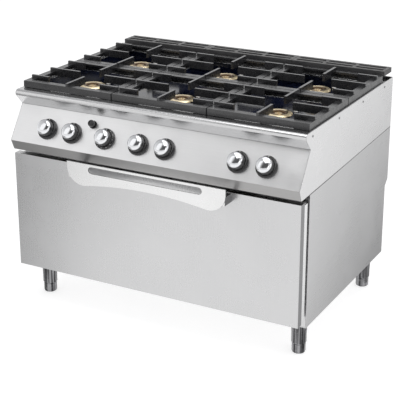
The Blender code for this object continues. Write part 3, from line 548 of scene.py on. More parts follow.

# ---------------------------------------------------------------- side joints
# A thin dark strip is laid along the joint between the lower and the upper side sheets as the joint's painted
# shadow line; it climbs a little towards the rear.

# The strip's near-black colour with a faint mottle is a painted shadow.
seam_shadow_paint, tree, shader = start_material("seam_shadow_dark", 0.0)
place = mapped(tree)
shadow_mottle = noise_in(tree, 55.0, 4.0, place, 0.6)
seam_shadow_colour = blend_colours(tree, map_range(tree, shadow_mottle, 0.4, 0.7, 0.0, 1.0),
                            (0.020, 0.020, 0.021, 1.0), (0.060, 0.058, 0.055, 1.0))
finish_from(tree, shader, seam_shadow_colour, map_range(tree, shadow_mottle, 0.3, 0.7, 0.45, 0.7))
bump_from(tree, shader, noise_in(tree, 420.0, 2.0, place), 0.15, 0.0003)
low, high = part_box("lower_side_right")
SEAM_CLIMB = 0.024
climb = SEAM_CLIMB / (high.y - low.y)
for side, sign in (("left", -1.0), ("right", 1.0)):
    wall = sorted((sign * (high.x - 0.0006), sign * (high.x + 0.0002)))
    shadow_strip = block("side_seam_shadow_" + side, (wall[0], low.y + 0.002, high.z - 0.0006),
                 (wall[1], high.y - 0.001, high.z + 0.0020))
    for corner in shadow_strip.data.vertices:
        corner.co.z -= climb * (high.y - corner.co.y)
    soften(shadow_strip, 0.0002, 1)
    settle(shadow_strip, seam_shadow_paint, "cabinet", "black_rubber")

# ---------------------------------------------------------------- rear louvres
# Air for the oven burner comes in through louvres lanced out of the lower rear sheet and
# pressed outwards, in two rows. They are the same stainless sheet as the wall.

LOUVRE_HALF = 0.050
LOUVRE_STEP = 0.016
LOUVRE_FOOT = 0.185
RECESS_Y = back_high.y - 0.0267
louvres = []
for column, x in enumerate((-0.36, -0.22, 0.22, 0.36)):
    for row in range(6):
        z = LOUVRE_FOOT + row * LOUVRE_STEP
        hood = block(f"louvre_{column}_{row}", (x - LOUVRE_HALF, RECESS_Y, z),
                     (x + LOUVRE_HALF, RECESS_Y + 0.004, z + 0.009))
        for corner in hood.data.vertices:
            if corner.co.y > RECESS_Y + 0.001 and corner.co.z > z + 0.005:
                corner.co.y = RECESS_Y + 0.0006
                corner.co.x = x + (corner.co.x - x) * 0.90
        soften(hood, 0.0012, 2)
        louvres.append(hood)
settle(joined("rear_louvres", louvres), front_steel, "cabinet", "satin_steel")

# ---------------------------------------------------------------- legs
# Four polished stainless sleeves are screwed under the base sheet. Each holds a turned foot on
# a threaded stem, whose rounded sole takes up an uneven floor.

leg_steel, tree, shader = start_material("polished_leg_steel", 1.0)
place = mapped(tree)
leg_rings = noise_in(tree, 1.0, 2.0, mapped(tree, (4.0, 4.0, 900.0)), 0.5)
leg_draw = noise_in(tree, 1.0, 2.0, mapped(tree, (95.0, 95.0, 1.5)), 0.5)
leg_cloud = noise_in(tree, 26.0, 4.0, place, 0.6)
leg_scuff = tree.nodes.new("ShaderNodeGroup")
leg_scuff.node_tree = scratch_group
leg_scuff.inputs["Amount"].default_value = 0.35
tree.links.new(place, leg_scuff.inputs["Place"])
leg_tone = map_range(tree, leg_cloud, 0.35, 0.7, 0.0, 1.0)
leg_colour = blend_colours(tree, map_range(tree, leg_draw, 0.42, 0.60, 0.0, 1.0),
                           (0.022, 0.022, 0.024, 1.0), (0.33, 0.33, 0.34, 1.0))
leg_colour = blend_colours(tree, calc(tree, "MULTIPLY", leg_tone, 0.3), leg_colour, (0.16, 0.16, 0.165, 1.0))
leg_colour = blend_colours(tree, leg_scuff.outputs["Mask"], leg_colour, (0.62, 0.62, 0.62, 1.0))
finish_from(tree, shader, leg_colour, map_range(tree, leg_cloud, 0.3, 0.75, 0.14, 0.30))
bump_from(tree, shader, leg_rings, 0.10, 0.0004)

CORNERS = ("front_left", "front_right", "rear_left", "rear_right")
for corner in CORNERS:
    low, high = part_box("leg_sleeve_" + corner)
    axis = Matrix.Translation(((low.x + high.x) / 2, (low.y + high.y) / 2, 0.0))
    top_radius = (high.x - low.x) / 2
    bottom_radius = top_radius - 0.0015
    sleeve = round_blank("leg_sleeve_shape_" + corner, [
        (bottom_radius - 0.0045, low.z), (bottom_radius - 0.0006, low.z), (bottom_radius, low.z + 0.0008),
        (bottom_radius, low.z + 0.002), (bottom_radius, low.z + 0.030), (top_radius - 0.0003, high.z - 0.016),
        (top_radius, high.z - 0.014), (top_radius, high.z),
    ], 48)
    sleeve.data.transform(axis)
    soften(sleeve, 0.0, smooth=38.0)
    settle(sleeve, leg_steel, "cabinet", "polished_steel", "leg_sleeve_" + corner)
    low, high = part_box("leg_foot_" + corner)
    foot_radius = (high.x - low.x) / 2
    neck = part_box("leg_sleeve_" + corner)[0].z - 0.0003
    foot = round_blank("leg_foot_shape_" + corner, [
        (foot_radius - 0.0075, 0.0), (foot_radius - 0.0040, 0.0006), (foot_radius - 0.0014, 0.0026),
        (foot_radius - 0.0002, 0.0058), (foot_radius, 0.0090), (foot_radius, neck - 0.006),
        (foot_radius - 0.0010, neck - 0.005), (foot_radius - 0.0010, neck - 0.004),
        (foot_radius, neck - 0.003), (foot_radius, neck - 0.001), (foot_radius - 0.0010, neck),
        (0.0100, neck), (0.0100, high.z - 0.001), (0.0090, high.z),
    ], 48)
    foot.data.transform(axis)
    soften(foot, 0.0, smooth=38.0)
    settle(foot, leg_steel, "foot_" + corner, "polished_steel", "leg_foot_" + corner)

# ---------------------------------------------------------------- oven cavity
# The cavity is folded from aluminised sheet, dull and faintly spangled, with shelf runners
# pressed into its sides. Years of heat leave it straw-brown near the mouth and the roof.

liner_steel, tree, shader = start_material("aluminised_oven_steel", 1.0)
place = mapped(tree)
spangle = tree.nodes.new("ShaderNodeTexVoronoi")
spangle.inputs["Scale"].default_value = 110.0
tree.links.new(place, spangle.inputs["Vector"])
heat = noise_in(tree, 3.2, 5.0, place, 0.6)
soot = noise_in(tree, 34.0, 4.0, place, 0.7)
spangle_tone = map_range(tree, spangle.outputs["Distance"], 0.0, 0.7, 0.0, 0.25)
liner_colour = blend_colours(tree, spangle_tone, (0.36, 0.365, 0.37, 1.0), (0.24, 0.245, 0.25, 1.0))
heat_mask = map_range(tree, heat, 0.48, 0.72, 0.0, 0.55)
liner_colour = blend_colours(tree, heat_mask, liner_colour, (0.30, 0.22, 0.13, 1.0))
soot_mask = map_range(tree, soot, 0.58, 0.75, 0.0, 0.5)
liner_colour = blend_colours(tree, soot_mask, liner_colour, (0.08, 0.07, 0.06, 1.0))
finish_from(tree, shader, liner_colour, map_range(tree, soot, 0.35, 0.75, 0.38, 0.62))
bump_from(tree, shader, spangle.outputs["Distance"], 0.06, 0.0006)
for panel in ("oven_liner_left", "oven_liner_right", "oven_liner_top", "oven_liner_back"):
    sheet_from(panel, panel + "_sheet", 0.0008, liner_steel, slot="aluminised_steel")

# The sole plate is a cast slab that spreads the burner's heat under the cavity.

cast_group, cast_in, cast_out = new_group(
    "cast_skin",
    [("Place", "v", None), ("Low", "c", (0.02, 0.02, 0.02, 1.0)), ("High", "c", (0.05, 0.05, 0.05, 1.0)),
     ("Roughness", "f", 0.45)],
    [("Color", "c"), ("Roughness", "f"), ("Height", "f")],
)
sand = noise_in(cast_group, 420.0, 3.0, cast_in.outputs["Place"], 0.7)
lumps = noise_in(cast_group, 46.0, 4.0, cast_in.outputs["Place"], 0.6)
stains = noise_in(cast_group, 11.0, 5.0, cast_in.outputs["Place"], 0.65)
tone = map_range(cast_group, stains, 0.35, 0.68, 0.0, 1.0)
skin = blend_colours(cast_group, tone, cast_in.outputs["Low"], cast_in.outputs["High"])
cast_group.links.new(skin, cast_out.inputs["Color"])
spread = map_range(cast_group, lumps, 0.3, 0.7, -0.08, 0.12)
rough = calc(cast_group, "ADD", cast_in.outputs["Roughness"], spread)
cast_group.links.new(rough, cast_out.inputs["Roughness"])
lump_height = calc(cast_group, "MULTIPLY", lumps, 1.6)
cast_group.links.new(calc(cast_group, "ADD", sand, lump_height), cast_out.inputs["Height"])


def cast_metal(name, low, high, roughness, bump=0.25, wear_from=None, wear_tone=(0.20, 0.20, 0.205)):
    """Enamelled cast iron; above a height its upward faces are rubbed by pans."""
    material, tree, shader = start_material(name, 0.0)
    place = mapped(tree)
    group = tree.nodes.new("ShaderNodeGroup")
    group.node_tree = cast_group
    group.inputs["Low"].default_value = (*low, 1.0)
    group.inputs["High"].default_value = (*high, 1.0)
    group.inputs["Roughness"].default_value = roughness
    tree.links.new(place, group.inputs["Place"])
    colour = group.outputs["Color"]
    rough = group.outputs["Roughness"]
    if wear_from is not None:
        facing_up = tree.nodes.new("ShaderNodeNewGeometry")
        upness = tree.nodes.new("ShaderNodeSeparateXYZ")
        tree.links.new(facing_up.outputs["Normal"], upness.inputs[0])
        spot = tree.nodes.new("ShaderNodeSeparateXYZ")
        tree.links.new(place, spot.inputs[0])
        rubbed = map_range(tree, spot.outputs["Z"], wear_from, wear_from + 0.002, 0.0, 1.0)
        rubbed = calc(tree, "MULTIPLY", rubbed, map_range(tree, upness.outputs["Z"], 0.55, 0.95, 0.0, 1.0))
        patch = noise_in(tree, 38.0, 5.0, place, 0.7)
        rubbed = calc(tree, "MULTIPLY", rubbed, map_range(tree, patch, 0.36, 0.58, 0.25, 1.0))
        colour = blend_colours(tree, rubbed, colour, (*wear_tone, 1.0))
        rough = calc(tree, "ADD", rough, calc(tree, "MULTIPLY", rubbed, -0.12))
    finish_from(tree, shader, colour, rough)
    bump_from(tree, shader, group.outputs["Height"], bump, 0.0006)
    return material


sole_iron = cast_metal("sole_plate_iron", (0.035, 0.032, 0.030), (0.075, 0.062, 0.052), 0.62)
sheet_from("sole_plate", "sole_plate_casting", 0.0016, sole_iron, slot="cast_iron")

# The oven burner is a bent steel tube with two rows of drilled ports, blued by its flames.

tube_steel, tree, shader = start_material("blued_burner_tube", 1.0)
place = mapped(tree)
bluing = noise_in(tree, 12.0, 4.0, place, 0.6)
tube_colour = blend_colours(tree, map_range(tree, bluing, 0.35, 0.65, 0.0, 1.0),
                            (0.26, 0.24, 0.23, 1.0), (0.14, 0.15, 0.20, 1.0))
finish_from(tree, shader, tube_colour, map_range(tree, bluing, 0.3, 0.7, 0.35, 0.6))
ports = tree.nodes.new("ShaderNodeTexVoronoi")
ports.inputs["Scale"].default_value = 90.0
tree.links.new(place, ports.inputs["Vector"])
bump_from(tree, shader, map_range(tree, ports.outputs["Distance"], 0.12, 0.2, 0.0, 1.0), 0.25, 0.0008)
sheet_from("oven_burner", "oven_burner_tube", 0.0, tube_steel, slot="aluminised_steel")

# ---------------------------------------------------------------- oven rack
# A welded shelf of chromed steel wire: a round frame, two cross rods under it and closely
# spaced wires that carry the trays. It slides out on the pressed runners.

wire_chrome, tree, shader = start_material("rack_wire_chrome", 1.0)
place = mapped(tree)
tarnish = noise_in(tree, 24.0, 4.0, place, 0.65)
wire_tone = map_range(tree, tarnish, 0.45, 0.72, 0.0, 0.8)
wire_colour = blend_colours(tree, wire_tone, (0.70, 0.70, 0.71, 1.0), (0.42, 0.36, 0.28, 1.0))
finish_from(tree, shader, wire_colour, map_range(tree, tarnish, 0.35, 0.7, 0.12, 0.36))
bump_from(tree, shader, noise_in(tree, 300.0, 2.0, place), 0.05, 0.0003)


def rod(name, start, end, radius, sides=12):
    """A straight round rod with slightly rounded ends."""
    start, end = Vector(start), Vector(end)
    length = (end - start).length
    tip = radius * 0.25
    rings = [(radius - tip, 0.0), (radius, tip), (radius, length - tip), (radius - tip, length)]
    piece = round_blank(name, rings, sides)
    turn = (end - start).to_track_quat("Z", "Y").to_matrix().to_4x4()
    piece.data.transform(Matrix.Translation(start) @ turn)
    return piece


low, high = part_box("oven_rack")
middle_z = (low.z + high.z) / 2
frame_radius = (high.z - low.z) / 2 - 0.0001
wire_radius = 0.0022
edge_x, front_y, back_y = high.x - frame_radius, low.y + frame_radius, high.y - frame_radius
wires = []
for sign in (-1.0, 1.0):
    wires.append(rod(f"rack_side_{sign}", (sign * edge_x, low.y, middle_z),
                     (sign * edge_x, high.y, middle_z), frame_radius, 16))
for y in (front_y, back_y):
    wires.append(rod(f"rack_end_{y}", (-high.x + 0.001, y, middle_z),
                     (high.x - 0.001, y, middle_z), frame_radius, 16))
CROSS_ROD_INSET = 0.21
for y in (front_y + CROSS_ROD_INSET, back_y - CROSS_ROD_INSET):
    wires.append(rod(f"rack_cross_{y}", (-edge_x, y, low.z + wire_radius),
                     (edge_x, y, low.z + wire_radius), wire_radius, 10))
WIRE_COUNT = 36
for number in range(1, WIRE_COUNT):
    x = -edge_x + 2 * edge_x * number / WIRE_COUNT
    wires.append(rod(f"rack_wire_{number}", (x, front_y, high.z - wire_radius),
                     (x, back_y, high.z - wire_radius), wire_radius, 10))
rack = soften(joined("rack_wires", wires), 0.0, smooth=50.0)
settle(rack, wire_chrome, "rack", "chrome_wire", "oven_rack")

# ---------------------------------------------------------------- door
# A drop-down door: a folded stainless skin in front, a pressed stainless lining behind it, and
# a braided glass-fibre seal round the mouth of the oven for it to close on.

DOOR_GRAIN = (900.0, 900.0, 5.0)
door_steel = brushed_metal("door_skin_steel", (0.60, 0.60, 0.605), 0.29, DOOR_GRAIN, 0.016, 0.005, 0.02)


def paint_side_shade(material, start, full, tone):
    """Paint shade onto the faces of a piece that look along +X, as the shade of its folds and ends there."""
    tree = material.node_tree
    shader = tree.nodes["Principled BSDF"]
    lean = tree.nodes.new("ShaderNodeNewGeometry")
    axes = tree.nodes.new("ShaderNodeSeparateXYZ")
    tree.links.new(lean.outputs["Normal"], axes.inputs[0])
    share = map_range(tree, axes.outputs["X"], start, full, 0.0, 0.9)
    unshaded_colour = shader.inputs["Base Color"].links[0].from_socket
    tree.links.new(blend_colours(tree, share, unshaded_colour, tone), shader.inputs["Base Color"])


sheet_from("door_outer", "door_skin", 0.0014, door_steel, body="door", segments=3)

# The door skin's side return is painted dark as the shade of its fold.
paint_side_shade(door_steel, 0.6, 0.9, (0.17, 0.17, 0.175, 1.0))
# The edge strips that close the door's sides use the door's brushed steel in a lighter tint, painted light so
# the door's side shows a light strip.
door_edge_lighter_steel = brushed_metal("door_edge_steel_painted_lighter", (0.76, 0.76, 0.765), 0.27, DOOR_GRAIN, 0.02, 0.02, 0.05)
lining = copy_of("door_inner", "door_lining")
low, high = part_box("door_inner")
pick(lining)
bpy.ops.object.mode_set(mode="EDIT")
bpy.ops.mesh.select_all(action="DESELECT")
bpy.ops.object.mode_set(mode="OBJECT")
for face in lining.data.polygons:
    at_back = face.center.y > high.y - 0.0002
    face.select = at_back and face.area > 0.3
bpy.ops.object.mode_set(mode="EDIT")
bpy.ops.mesh.inset(thickness=0.085, depth=0.0)
bpy.ops.mesh.inset(thickness=0.012, depth=-0.0010)
bpy.ops.mesh.inset(thickness=0.030, depth=0.0)
bpy.ops.mesh.inset(thickness=0.010, depth=0.0006)
bpy.ops.object.mode_set(mode="OBJECT")
soften(lining, 0.0012, 3, 12.0, 40.0)
settle(lining, front_steel, "door", "satin_steel", "door_inner")
for side, sign in (("left", -1.0), ("right", 1.0)):
    span = sorted((sign * (high.x - 0.0004), sign * (high.x + 0.0072)))
    trim = block("door_edge_strip_" + side, (span[0], low.y + 0.0235, low.z + 0.002),
                 (span[1], high.y - 0.0006, high.z - 0.002))
    soften(trim, 0.0012, 3)
    settle(trim, door_edge_lighter_steel, "door", "satin_steel")

seal_braid, tree, shader = start_material("braided_door_seal", 0.0)
place = mapped(tree)
weave = tree.nodes.new("ShaderNodeTexWave")
weave.wave_type = "BANDS"
weave.bands_direction = "DIAGONAL"
weave.inputs["Scale"].default_value = 130.0
weave.inputs["Distortion"].default_value = 0.8
tree.links.new(place, weave.inputs["Vector"])
char = noise_in(tree, 16.0, 4.0, place, 0.7)
seal_colour = blend_colours(tree, map_range(tree, char, 0.4, 0.7, 0.0, 1.0),
                            (0.030, 0.030, 0.032, 1.0), (0.012, 0.011, 0.010, 1.0))
braid_mask = map_range(tree, weave.outputs["Fac"], 0.5, 1.0, 0.0, 0.35)
seal_colour = blend_colours(tree, braid_mask, seal_colour, (0.07, 0.07, 0.07, 1.0))
tree.links.new(seal_colour, shader.inputs["Base Color"])
shader.inputs["Roughness"].default_value = 0.85
bump_from(tree, shader, weave.outputs["Fac"], 0.6, 0.0010)
sheet_from("door_gasket", "door_seal", 0.0032, seal_braid, segments=3, slot="black_rubber")

# The handle is one thick stainless plate with a long finger slot, drawn in below, held off the
# door on two welded blocks. Its lower edge is cut to a shallow arch and every edge is dressed.

ACROSS_GRAIN = (5.0, 900.0, 900.0)
grip_steel = brushed_metal("handle_plate_steel", (0.78, 0.78, 0.78), 0.28, ACROSS_GRAIN, 0.02, 0.006, 0.03)
# The handle's faces that look along +X, at the end of its finger slot and on its right arm, are painted dark
# as their shade.
paint_side_shade(grip_steel, 0.45, 0.75, (0.10, 0.10, 0.105, 1.0))
sheet_from("door_handle", "door_grip", 0.0013, grip_steel, body="door", segments=3)

# ---------------------------------------------------------------- control panel and gas train
# One folded stainless sheet slopes back from the door to the nose. Behind it runs a brass
# manifold with a tap for each knob, fed by a steel pipe that rises from the rear union.

panel_steel = brushed_metal("control_panel_steel", (0.80, 0.80, 0.805), 0.33, ACROSS_GRAIN,
                            0.025, 0.010, 0.05)
tree = panel_steel.node_tree
shader = tree.nodes["Principled BSDF"]
# Faces of the panel that look downwards, along its lower lip, are painted dark as painted shade and a painted
# dark reflection.
lean = tree.nodes.new("ShaderNodeNewGeometry")
lean_axes = tree.nodes.new("ShaderNodeSeparateXYZ")
tree.links.new(lean.outputs["Normal"], lean_axes.inputs[0])
lip_painted_shade = map_range(tree, lean_axes.outputs["Z"], -0.45, -0.15, 0.85, 0.0)
unshaded_colour = shader.inputs["Base Color"].links[0].from_socket
tree.links.new(blend_colours(tree, lip_painted_shade, unshaded_colour, (0.20, 0.195, 0.19, 1.0)), shader.inputs["Base Color"])
sheet_from("control_panel", "control_panel_sheet", 0.0009, panel_steel, segments=3, slot="panel_steel")

manifold_brass, tree, shader = start_material("manifold_brass", 1.0)
place = mapped(tree)
age = noise_in(tree, 18.0, 5.0, place, 0.65)
brass_colour = blend_colours(tree, map_range(tree, age, 0.38, 0.68, 0.0, 1.0),
                             (0.62, 0.44, 0.20, 1.0), (0.33, 0.22, 0.10, 1.0))
finish_from(tree, shader, brass_colour, map_range(tree, age, 0.3, 0.7, 0.28, 0.5))
bump_from(tree, shader, noise_in(tree, 260.0, 2.0, place), 0.08, 0.0004)
sheet_from("gas_manifold", "gas_manifold_bar", 0.0008, manifold_brass, slot="brass")

pipe_steel, tree, shader = start_material("galvanised_pipe_steel", 1.0)
place = mapped(tree)
zinc = tree.nodes.new("ShaderNodeTexVoronoi")
zinc.inputs["Scale"].default_value = 160.0
tree.links.new(place, zinc.inputs["Vector"])
zinc_colour = blend_colours(tree, map_range(tree, zinc.outputs["Distance"], 0.0, 0.8, 0.0, 1.0),
                            (0.50, 0.51, 0.52, 1.0), (0.34, 0.35, 0.36, 1.0))
tree.links.new(zinc_colour, shader.inputs["Base Color"])
scuffs = noise_in(tree, 30.0, 4.0, place)
tree.links.new(map_range(tree, scuffs, 0.3, 0.7, 0.3, 0.5), shader.inputs["Roughness"])
bump_from(tree, shader, zinc.outputs["Distance"], 0.05, 0.0004)
sheet_from("gas_inlet", "gas_inlet_pipe", 0.0006, pipe_steel)

# ---------------------------------------------------------------- knobs
# Moulded black skirts carry a white pointer and a polished metal cap pressed on the grip. The
# oven's knob has a ring of white temperature dots instead of a plain skirt.

knob_black, tree, shader = start_material("knob_moulding_black", 0.0)
place = mapped(tree)
handled = noise_in(tree, 60.0, 4.0, place, 0.6)
black = blend_colours(tree, map_range(tree, handled, 0.4, 0.7, 0.0, 1.0),
                      (0.009, 0.009, 0.010, 1.0), (0.020, 0.020, 0.021, 1.0))
finish_from(tree, shader, black, map_range(tree, handled, 0.35, 0.7, 0.16, 0.34))
bump_from(tree, shader, noise_in(tree, 900.0, 2.0, place), 0.06, 0.0002)

cap_chrome, tree, shader = start_material("knob_cap_chrome", 1.0)
place = mapped(tree)
cap_wear = tree.nodes.new("ShaderNodeGroup")
cap_wear.node_tree = scratch_group
cap_wear.inputs["Amount"].default_value = 0.4
tree.links.new(place, cap_wear.inputs["Place"])
breath = noise_in(tree, 45.0, 4.0, place, 0.6)
cap_colour = blend_colours(tree, cap_wear.outputs["Mask"], (0.80, 0.81, 0.83, 1.0), (0.62, 0.62, 0.63, 1.0))
finish_from(tree, shader, cap_colour, map_range(tree, breath, 0.35, 0.7, 0.05, 0.16))
bump_from(tree, shader, breath, 0.02, 0.0004)

pointer_white, tree, shader = start_material("pointer_white_paint", 0.0)
fade = noise_in(tree, 300.0, 3.0, mapped(tree), 0.6)
white = blend_colours(tree, map_range(tree, fade, 0.4, 0.7, 0.0, 1.0),
                      (0.85, 0.85, 0.84, 1.0), (0.66, 0.66, 0.65, 1.0))
tree.links.new(white, shader.inputs["Base Color"])
shader.inputs["Roughness"].default_value = 0.45

turns = {joint["child"]: joint for joint in frame["joints"] if joint["type"] == "hinge"}
first_turn = turns["knob_1"]
low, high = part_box("knob_1")
KNOB_SKIRT = (high.x - low.x) / 2
KNOB_FACE = 0.0418
skirt_master = round_blank("knob_skirt_master", [
    (KNOB_SKIRT - 0.0012, 0.0012), (KNOB_SKIRT, 0.0024), (KNOB_SKIRT, 0.0058),
    (KNOB_SKIRT - 0.0014, 0.0074),
    (0.0345, 0.0082), (0.0325, 0.0094), (0.0318, 0.0120), (0.0302, 0.0270), (0.0296, 0.0300),
    (0.0280, 0.0312),
], 56)
pick(skirt_master)
FLUTES = 18
FLUTE_RING = 0.0332
for number in range(FLUTES):
    angle = math.radians(360 // FLUTES * number)
    notch = round_blank(f"grip_flute_{number}", [(0.0024, 0.0105), (0.0024, 0.0330)], 8)
    flute_at = (math.sin(angle) * FLUTE_RING, math.cos(angle) * FLUTE_RING, 0.0)
    notch.data.transform(Matrix.Translation(flute_at))
    cut_with(skirt_master, notch)
soften(skirt_master, 0.0003, 1, 40.0, 40.0)
cap_master = round_blank("knob_cap_master", [
    (0.0278, 0.0300), (0.0288, 0.0306), (0.0290, 0.0318), (0.0284, 0.0338), (0.0272, 0.0356),
    (0.0254, 0.0372), (0.0230, 0.0386), (0.0200, 0.0398), (0.0160, 0.0408), (0.0110, 0.0415),
    (0.0060, KNOB_FACE), (0.0010, KNOB_FACE),
], 56)
soften(cap_master, 0.0, smooth=60.0)
tick_master = block("knob_tick_master", (-0.0013, 0.0352, 0.0078), (0.0013, KNOB_SKIRT - 0.0016, 0.0086))
soften(tick_master, 0.0003, 2, 30.0, 40.0)
dot_master = round_blank("dial_dot_master", [(0.0011, 0.0076), (0.0011, 0.0083), (0.0008, 0.0085)], 12)
thermostat = sorted(turns, key=lambda body: abs(turns[body]["pos_m"][0] + 0.195))[0]
for body, joint in turns.items():
    if not body.startswith("knob_"):
        continue
    frame_at = facing(joint["pos_m"], joint["axis"])
    skirt = seated_copy(skirt_master, body + "_skirt", frame_at)
    settle(skirt, knob_black, body, "black_knob", body)
    settle(seated_copy(cap_master, body + "_cap", frame_at), cap_chrome, body, "polished_steel")
    marks = [seated_copy(tick_master, body + "_tick", frame_at)]
    if body == thermostat:
        for number in range(1, 9):
            angle = math.radians(-30 * number)
            spot = Matrix.Translation((-math.sin(angle) * 0.0366, math.cos(angle) * 0.0366, 0.0))
            marks.append(seated_copy(dot_master, f"{body}_dot_{number}", frame_at @ spot))
    settle(joined(body + "_marks", marks), pointer_white, body, "panel_steel")
for master in (skirt_master, cap_master, tick_master, dot_master):
    bpy.data.objects.remove(master, do_unlink=True)

# ---------------------------------------------------------------- igniter
# A black piezo push-button stands in a round bezel nut, and springs back when it is let go.

press = [joint for joint in frame["joints"] if joint["child"] == "igniter_button"][0]
out = -Vector(press["axis"])
low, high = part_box("igniter_body")
BEZEL = (high.x - low.x) / 2
on_face = Vector(first_turn["pos_m"])
centre = Vector(((low.x + high.x) / 2, 0.0, 0.0))
b_low, b_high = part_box("igniter_button")
BUTTON = (b_high.x - b_low.x) / 2
mid_y = (b_low.y + b_high.y) / 2
mid_z = (b_low.z + b_high.z) / 2
reach = (Vector((0.0, mid_y, mid_z)) - Vector((0.0, on_face.y, on_face.z))).dot(out)
foot = Vector((centre.x, mid_y, mid_z)) - out * reach
ig_frame = facing(foot, out)
bezel = round_blank("igniter_bezel", [
    (BEZEL - 0.0006, 0.0004), (BEZEL, 0.0010), (BEZEL, 0.0026), (BEZEL - 0.0008, 0.0034),
    (BUTTON - 0.0010, 0.0034), (BUTTON - 0.0020, 0.0026),
], 36)
BORE = 0.0056
cut_with(bezel, round_blank("bezel_bore", [(BORE, -0.0020), (BORE, 0.0060)], 24))
bezel.data.transform(ig_frame)
soften(bezel, 0.0, smooth=40.0)
settle(bezel, knob_black, "cabinet", "black_knob", "igniter_body")
button = round_blank("igniter_push", [
    (0.0050, 0.0056), (0.0050, 0.0088), (BUTTON - 0.0006, 0.0089), (BUTTON, 0.0096), (BUTTON, 0.0196),
    (BUTTON - 0.0005, 0.0210), (BUTTON - 0.0018, 0.0219), (BUTTON - 0.0032, 0.0219),
    (BUTTON - 0.0044, 0.0211), (0.0020, 0.0207),
], 36)
button.data.transform(ig_frame)
soften(button, 0.0, smooth=40.0)
settle(button, knob_black, "igniter_button", "black_knob", "igniter_button")

# ---------------------------------------------------------------- worktop and spill trays
# The worktop is one thick pressed sheet that rolls over into the nose in front. Six openings
# show the blue-black enamelled tray below, burnt matt round the burners.

top_steel = brushed_metal("worktop_steel", (0.62, 0.62, 0.625), 0.24, (5.0, 700.0, 700.0), 0.08, 0.06)
sheet_from("worktop", "worktop_sheet", 0.0008, top_steel, segments=3)

CELLS = [(row, column) for row in ("front", "rear") for column in ("left", "centre", "right")]
centres = {}
for row, column in CELLS:
    low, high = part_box(f"burner_crown_{row}_{column}")
    centres[row, column] = (low + high) / 2
tray_enamel, tree, shader = start_material("spill_tray_enamel", 0.0)
place = mapped(tree)
TRAY_FLOOR = 0.82
burnt = None
for spot in centres.values():
    round_it = tree.nodes.new("ShaderNodeVectorMath")
    round_it.operation = "DISTANCE"
    tree.links.new(place, round_it.inputs[0])
    round_it.inputs[1].default_value = (spot.x, spot.y, TRAY_FLOOR)
    near_burner = map_range(tree, round_it.outputs["Value"], 0.06, 0.15, 1.0, 0.0)
    burnt = near_burner if burnt is None else calc(tree, "MAXIMUM", burnt, near_burner)
ragged = noise_in(tree, 28.0, 5.0, place, 0.7)
burnt = calc(tree, "MULTIPLY", burnt, map_range(tree, ragged, 0.35, 0.6, 0.1, 1.0))
enamel = blend_colours(tree, burnt, (0.008, 0.011, 0.028, 1.0), (0.030, 0.024, 0.020, 1.0))
speck = tree.nodes.new("ShaderNodeTexVoronoi")
speck.inputs["Scale"].default_value = 140.0
tree.links.new(place, speck.inputs["Vector"])
speck_mask = map_range(tree, speck.outputs["Distance"], 0.02, 0.07, 0.5, 0.0)
enamel = blend_colours(tree, speck_mask, enamel, (0.09, 0.10, 0.14, 1.0))
finish_from(tree, shader, enamel, calc(tree, "ADD", 0.12, calc(tree, "MULTIPLY", burnt, 0.30)))
shader.inputs["IOR"].default_value = 1.7
bump_from(tree, shader, noise_in(tree, 22.0, 3.0, place), 0.08, 0.0015)
tray = soften(copy_of("spill_tray", "spill_tray_pressing", flats=False), 0.0, smooth=12.0)
settle(tray, tray_enamel, "cabinet", "black_enamel", "spill_tray")

# ---------------------------------------------------------------- burners
# Each column has a cast carrier with two cups. A turned brass crown drops into each cup: a flat
# bright ring round a shallow dish, which has eight round ports in it.

carrier_iron = cast_metal("burner_carrier_iron", (0.030, 0.030, 0.032), (0.060, 0.056, 0.052), 0.55)
for column in ("left", "centre", "right"):
    sheet_from("burner_base_" + column, "burner_carrier_" + column, 0.0012, carrier_iron, slot="cast_iron")


def turned_brass(name, spot):
    """Machined brass whose tool marks run round a burner's axis, browned by its flame, its dish painted dark
    as shade.
    """
    material, tree, shader = start_material(name, 1.0)
    local = mapped(tree, shift=(-spot.x, -spot.y, -spot.z))
    radial = tree.nodes.new("ShaderNodeTexWave")
    radial.wave_type = "RINGS"
    radial.rings_direction = "Z"
    radial.inputs["Scale"].default_value = 260.0
    radial.inputs["Distortion"].default_value = 0.4
    tree.links.new(local, radial.inputs["Vector"])
    heat = noise_in(tree, 34.0, 5.0, mapped(tree), 0.65)
    outward = tree.nodes.new("ShaderNodeVectorMath")
    outward.operation = "LENGTH"
    tree.links.new(local, outward.inputs[0])
    rim_heat = map_range(tree, outward.outputs["Value"], 0.047, 0.056, 0.0, 0.22)
    dish_heat = map_range(tree, outward.outputs["Value"], 0.0330, 0.0345, 0.6, 0.0)
    stain = calc(tree, "MAXIMUM", rim_heat, dish_heat)
    stain = calc(tree, "MULTIPLY", stain, map_range(tree, heat, 0.3, 0.62, 0.35, 1.0))
    colour = blend_colours(tree, stain, (1.0, 0.84, 0.55, 1.0), (0.52, 0.32, 0.12, 1.0))
    # The dish inside the ring is painted dark as the shade of its well, less so on the raised central boss.
    dish_painted_shade = map_range(tree, outward.outputs["Value"], 0.0336, 0.0344, 1.0, 0.0)
    boss_shade_share = map_range(tree, outward.outputs["Value"], 0.0150, 0.0160, 0.35, 1.0)
    colour = blend_colours(tree, calc(tree, "MULTIPLY", dish_painted_shade, boss_shade_share), colour, (0.13, 0.07, 0.022, 1.0))
    finish_from(tree, shader, colour, map_range(tree, heat, 0.3, 0.7, 0.20, 0.38))
    bump_from(tree, shader, radial.outputs["Fac"], 0.03, 0.0002)
    return material


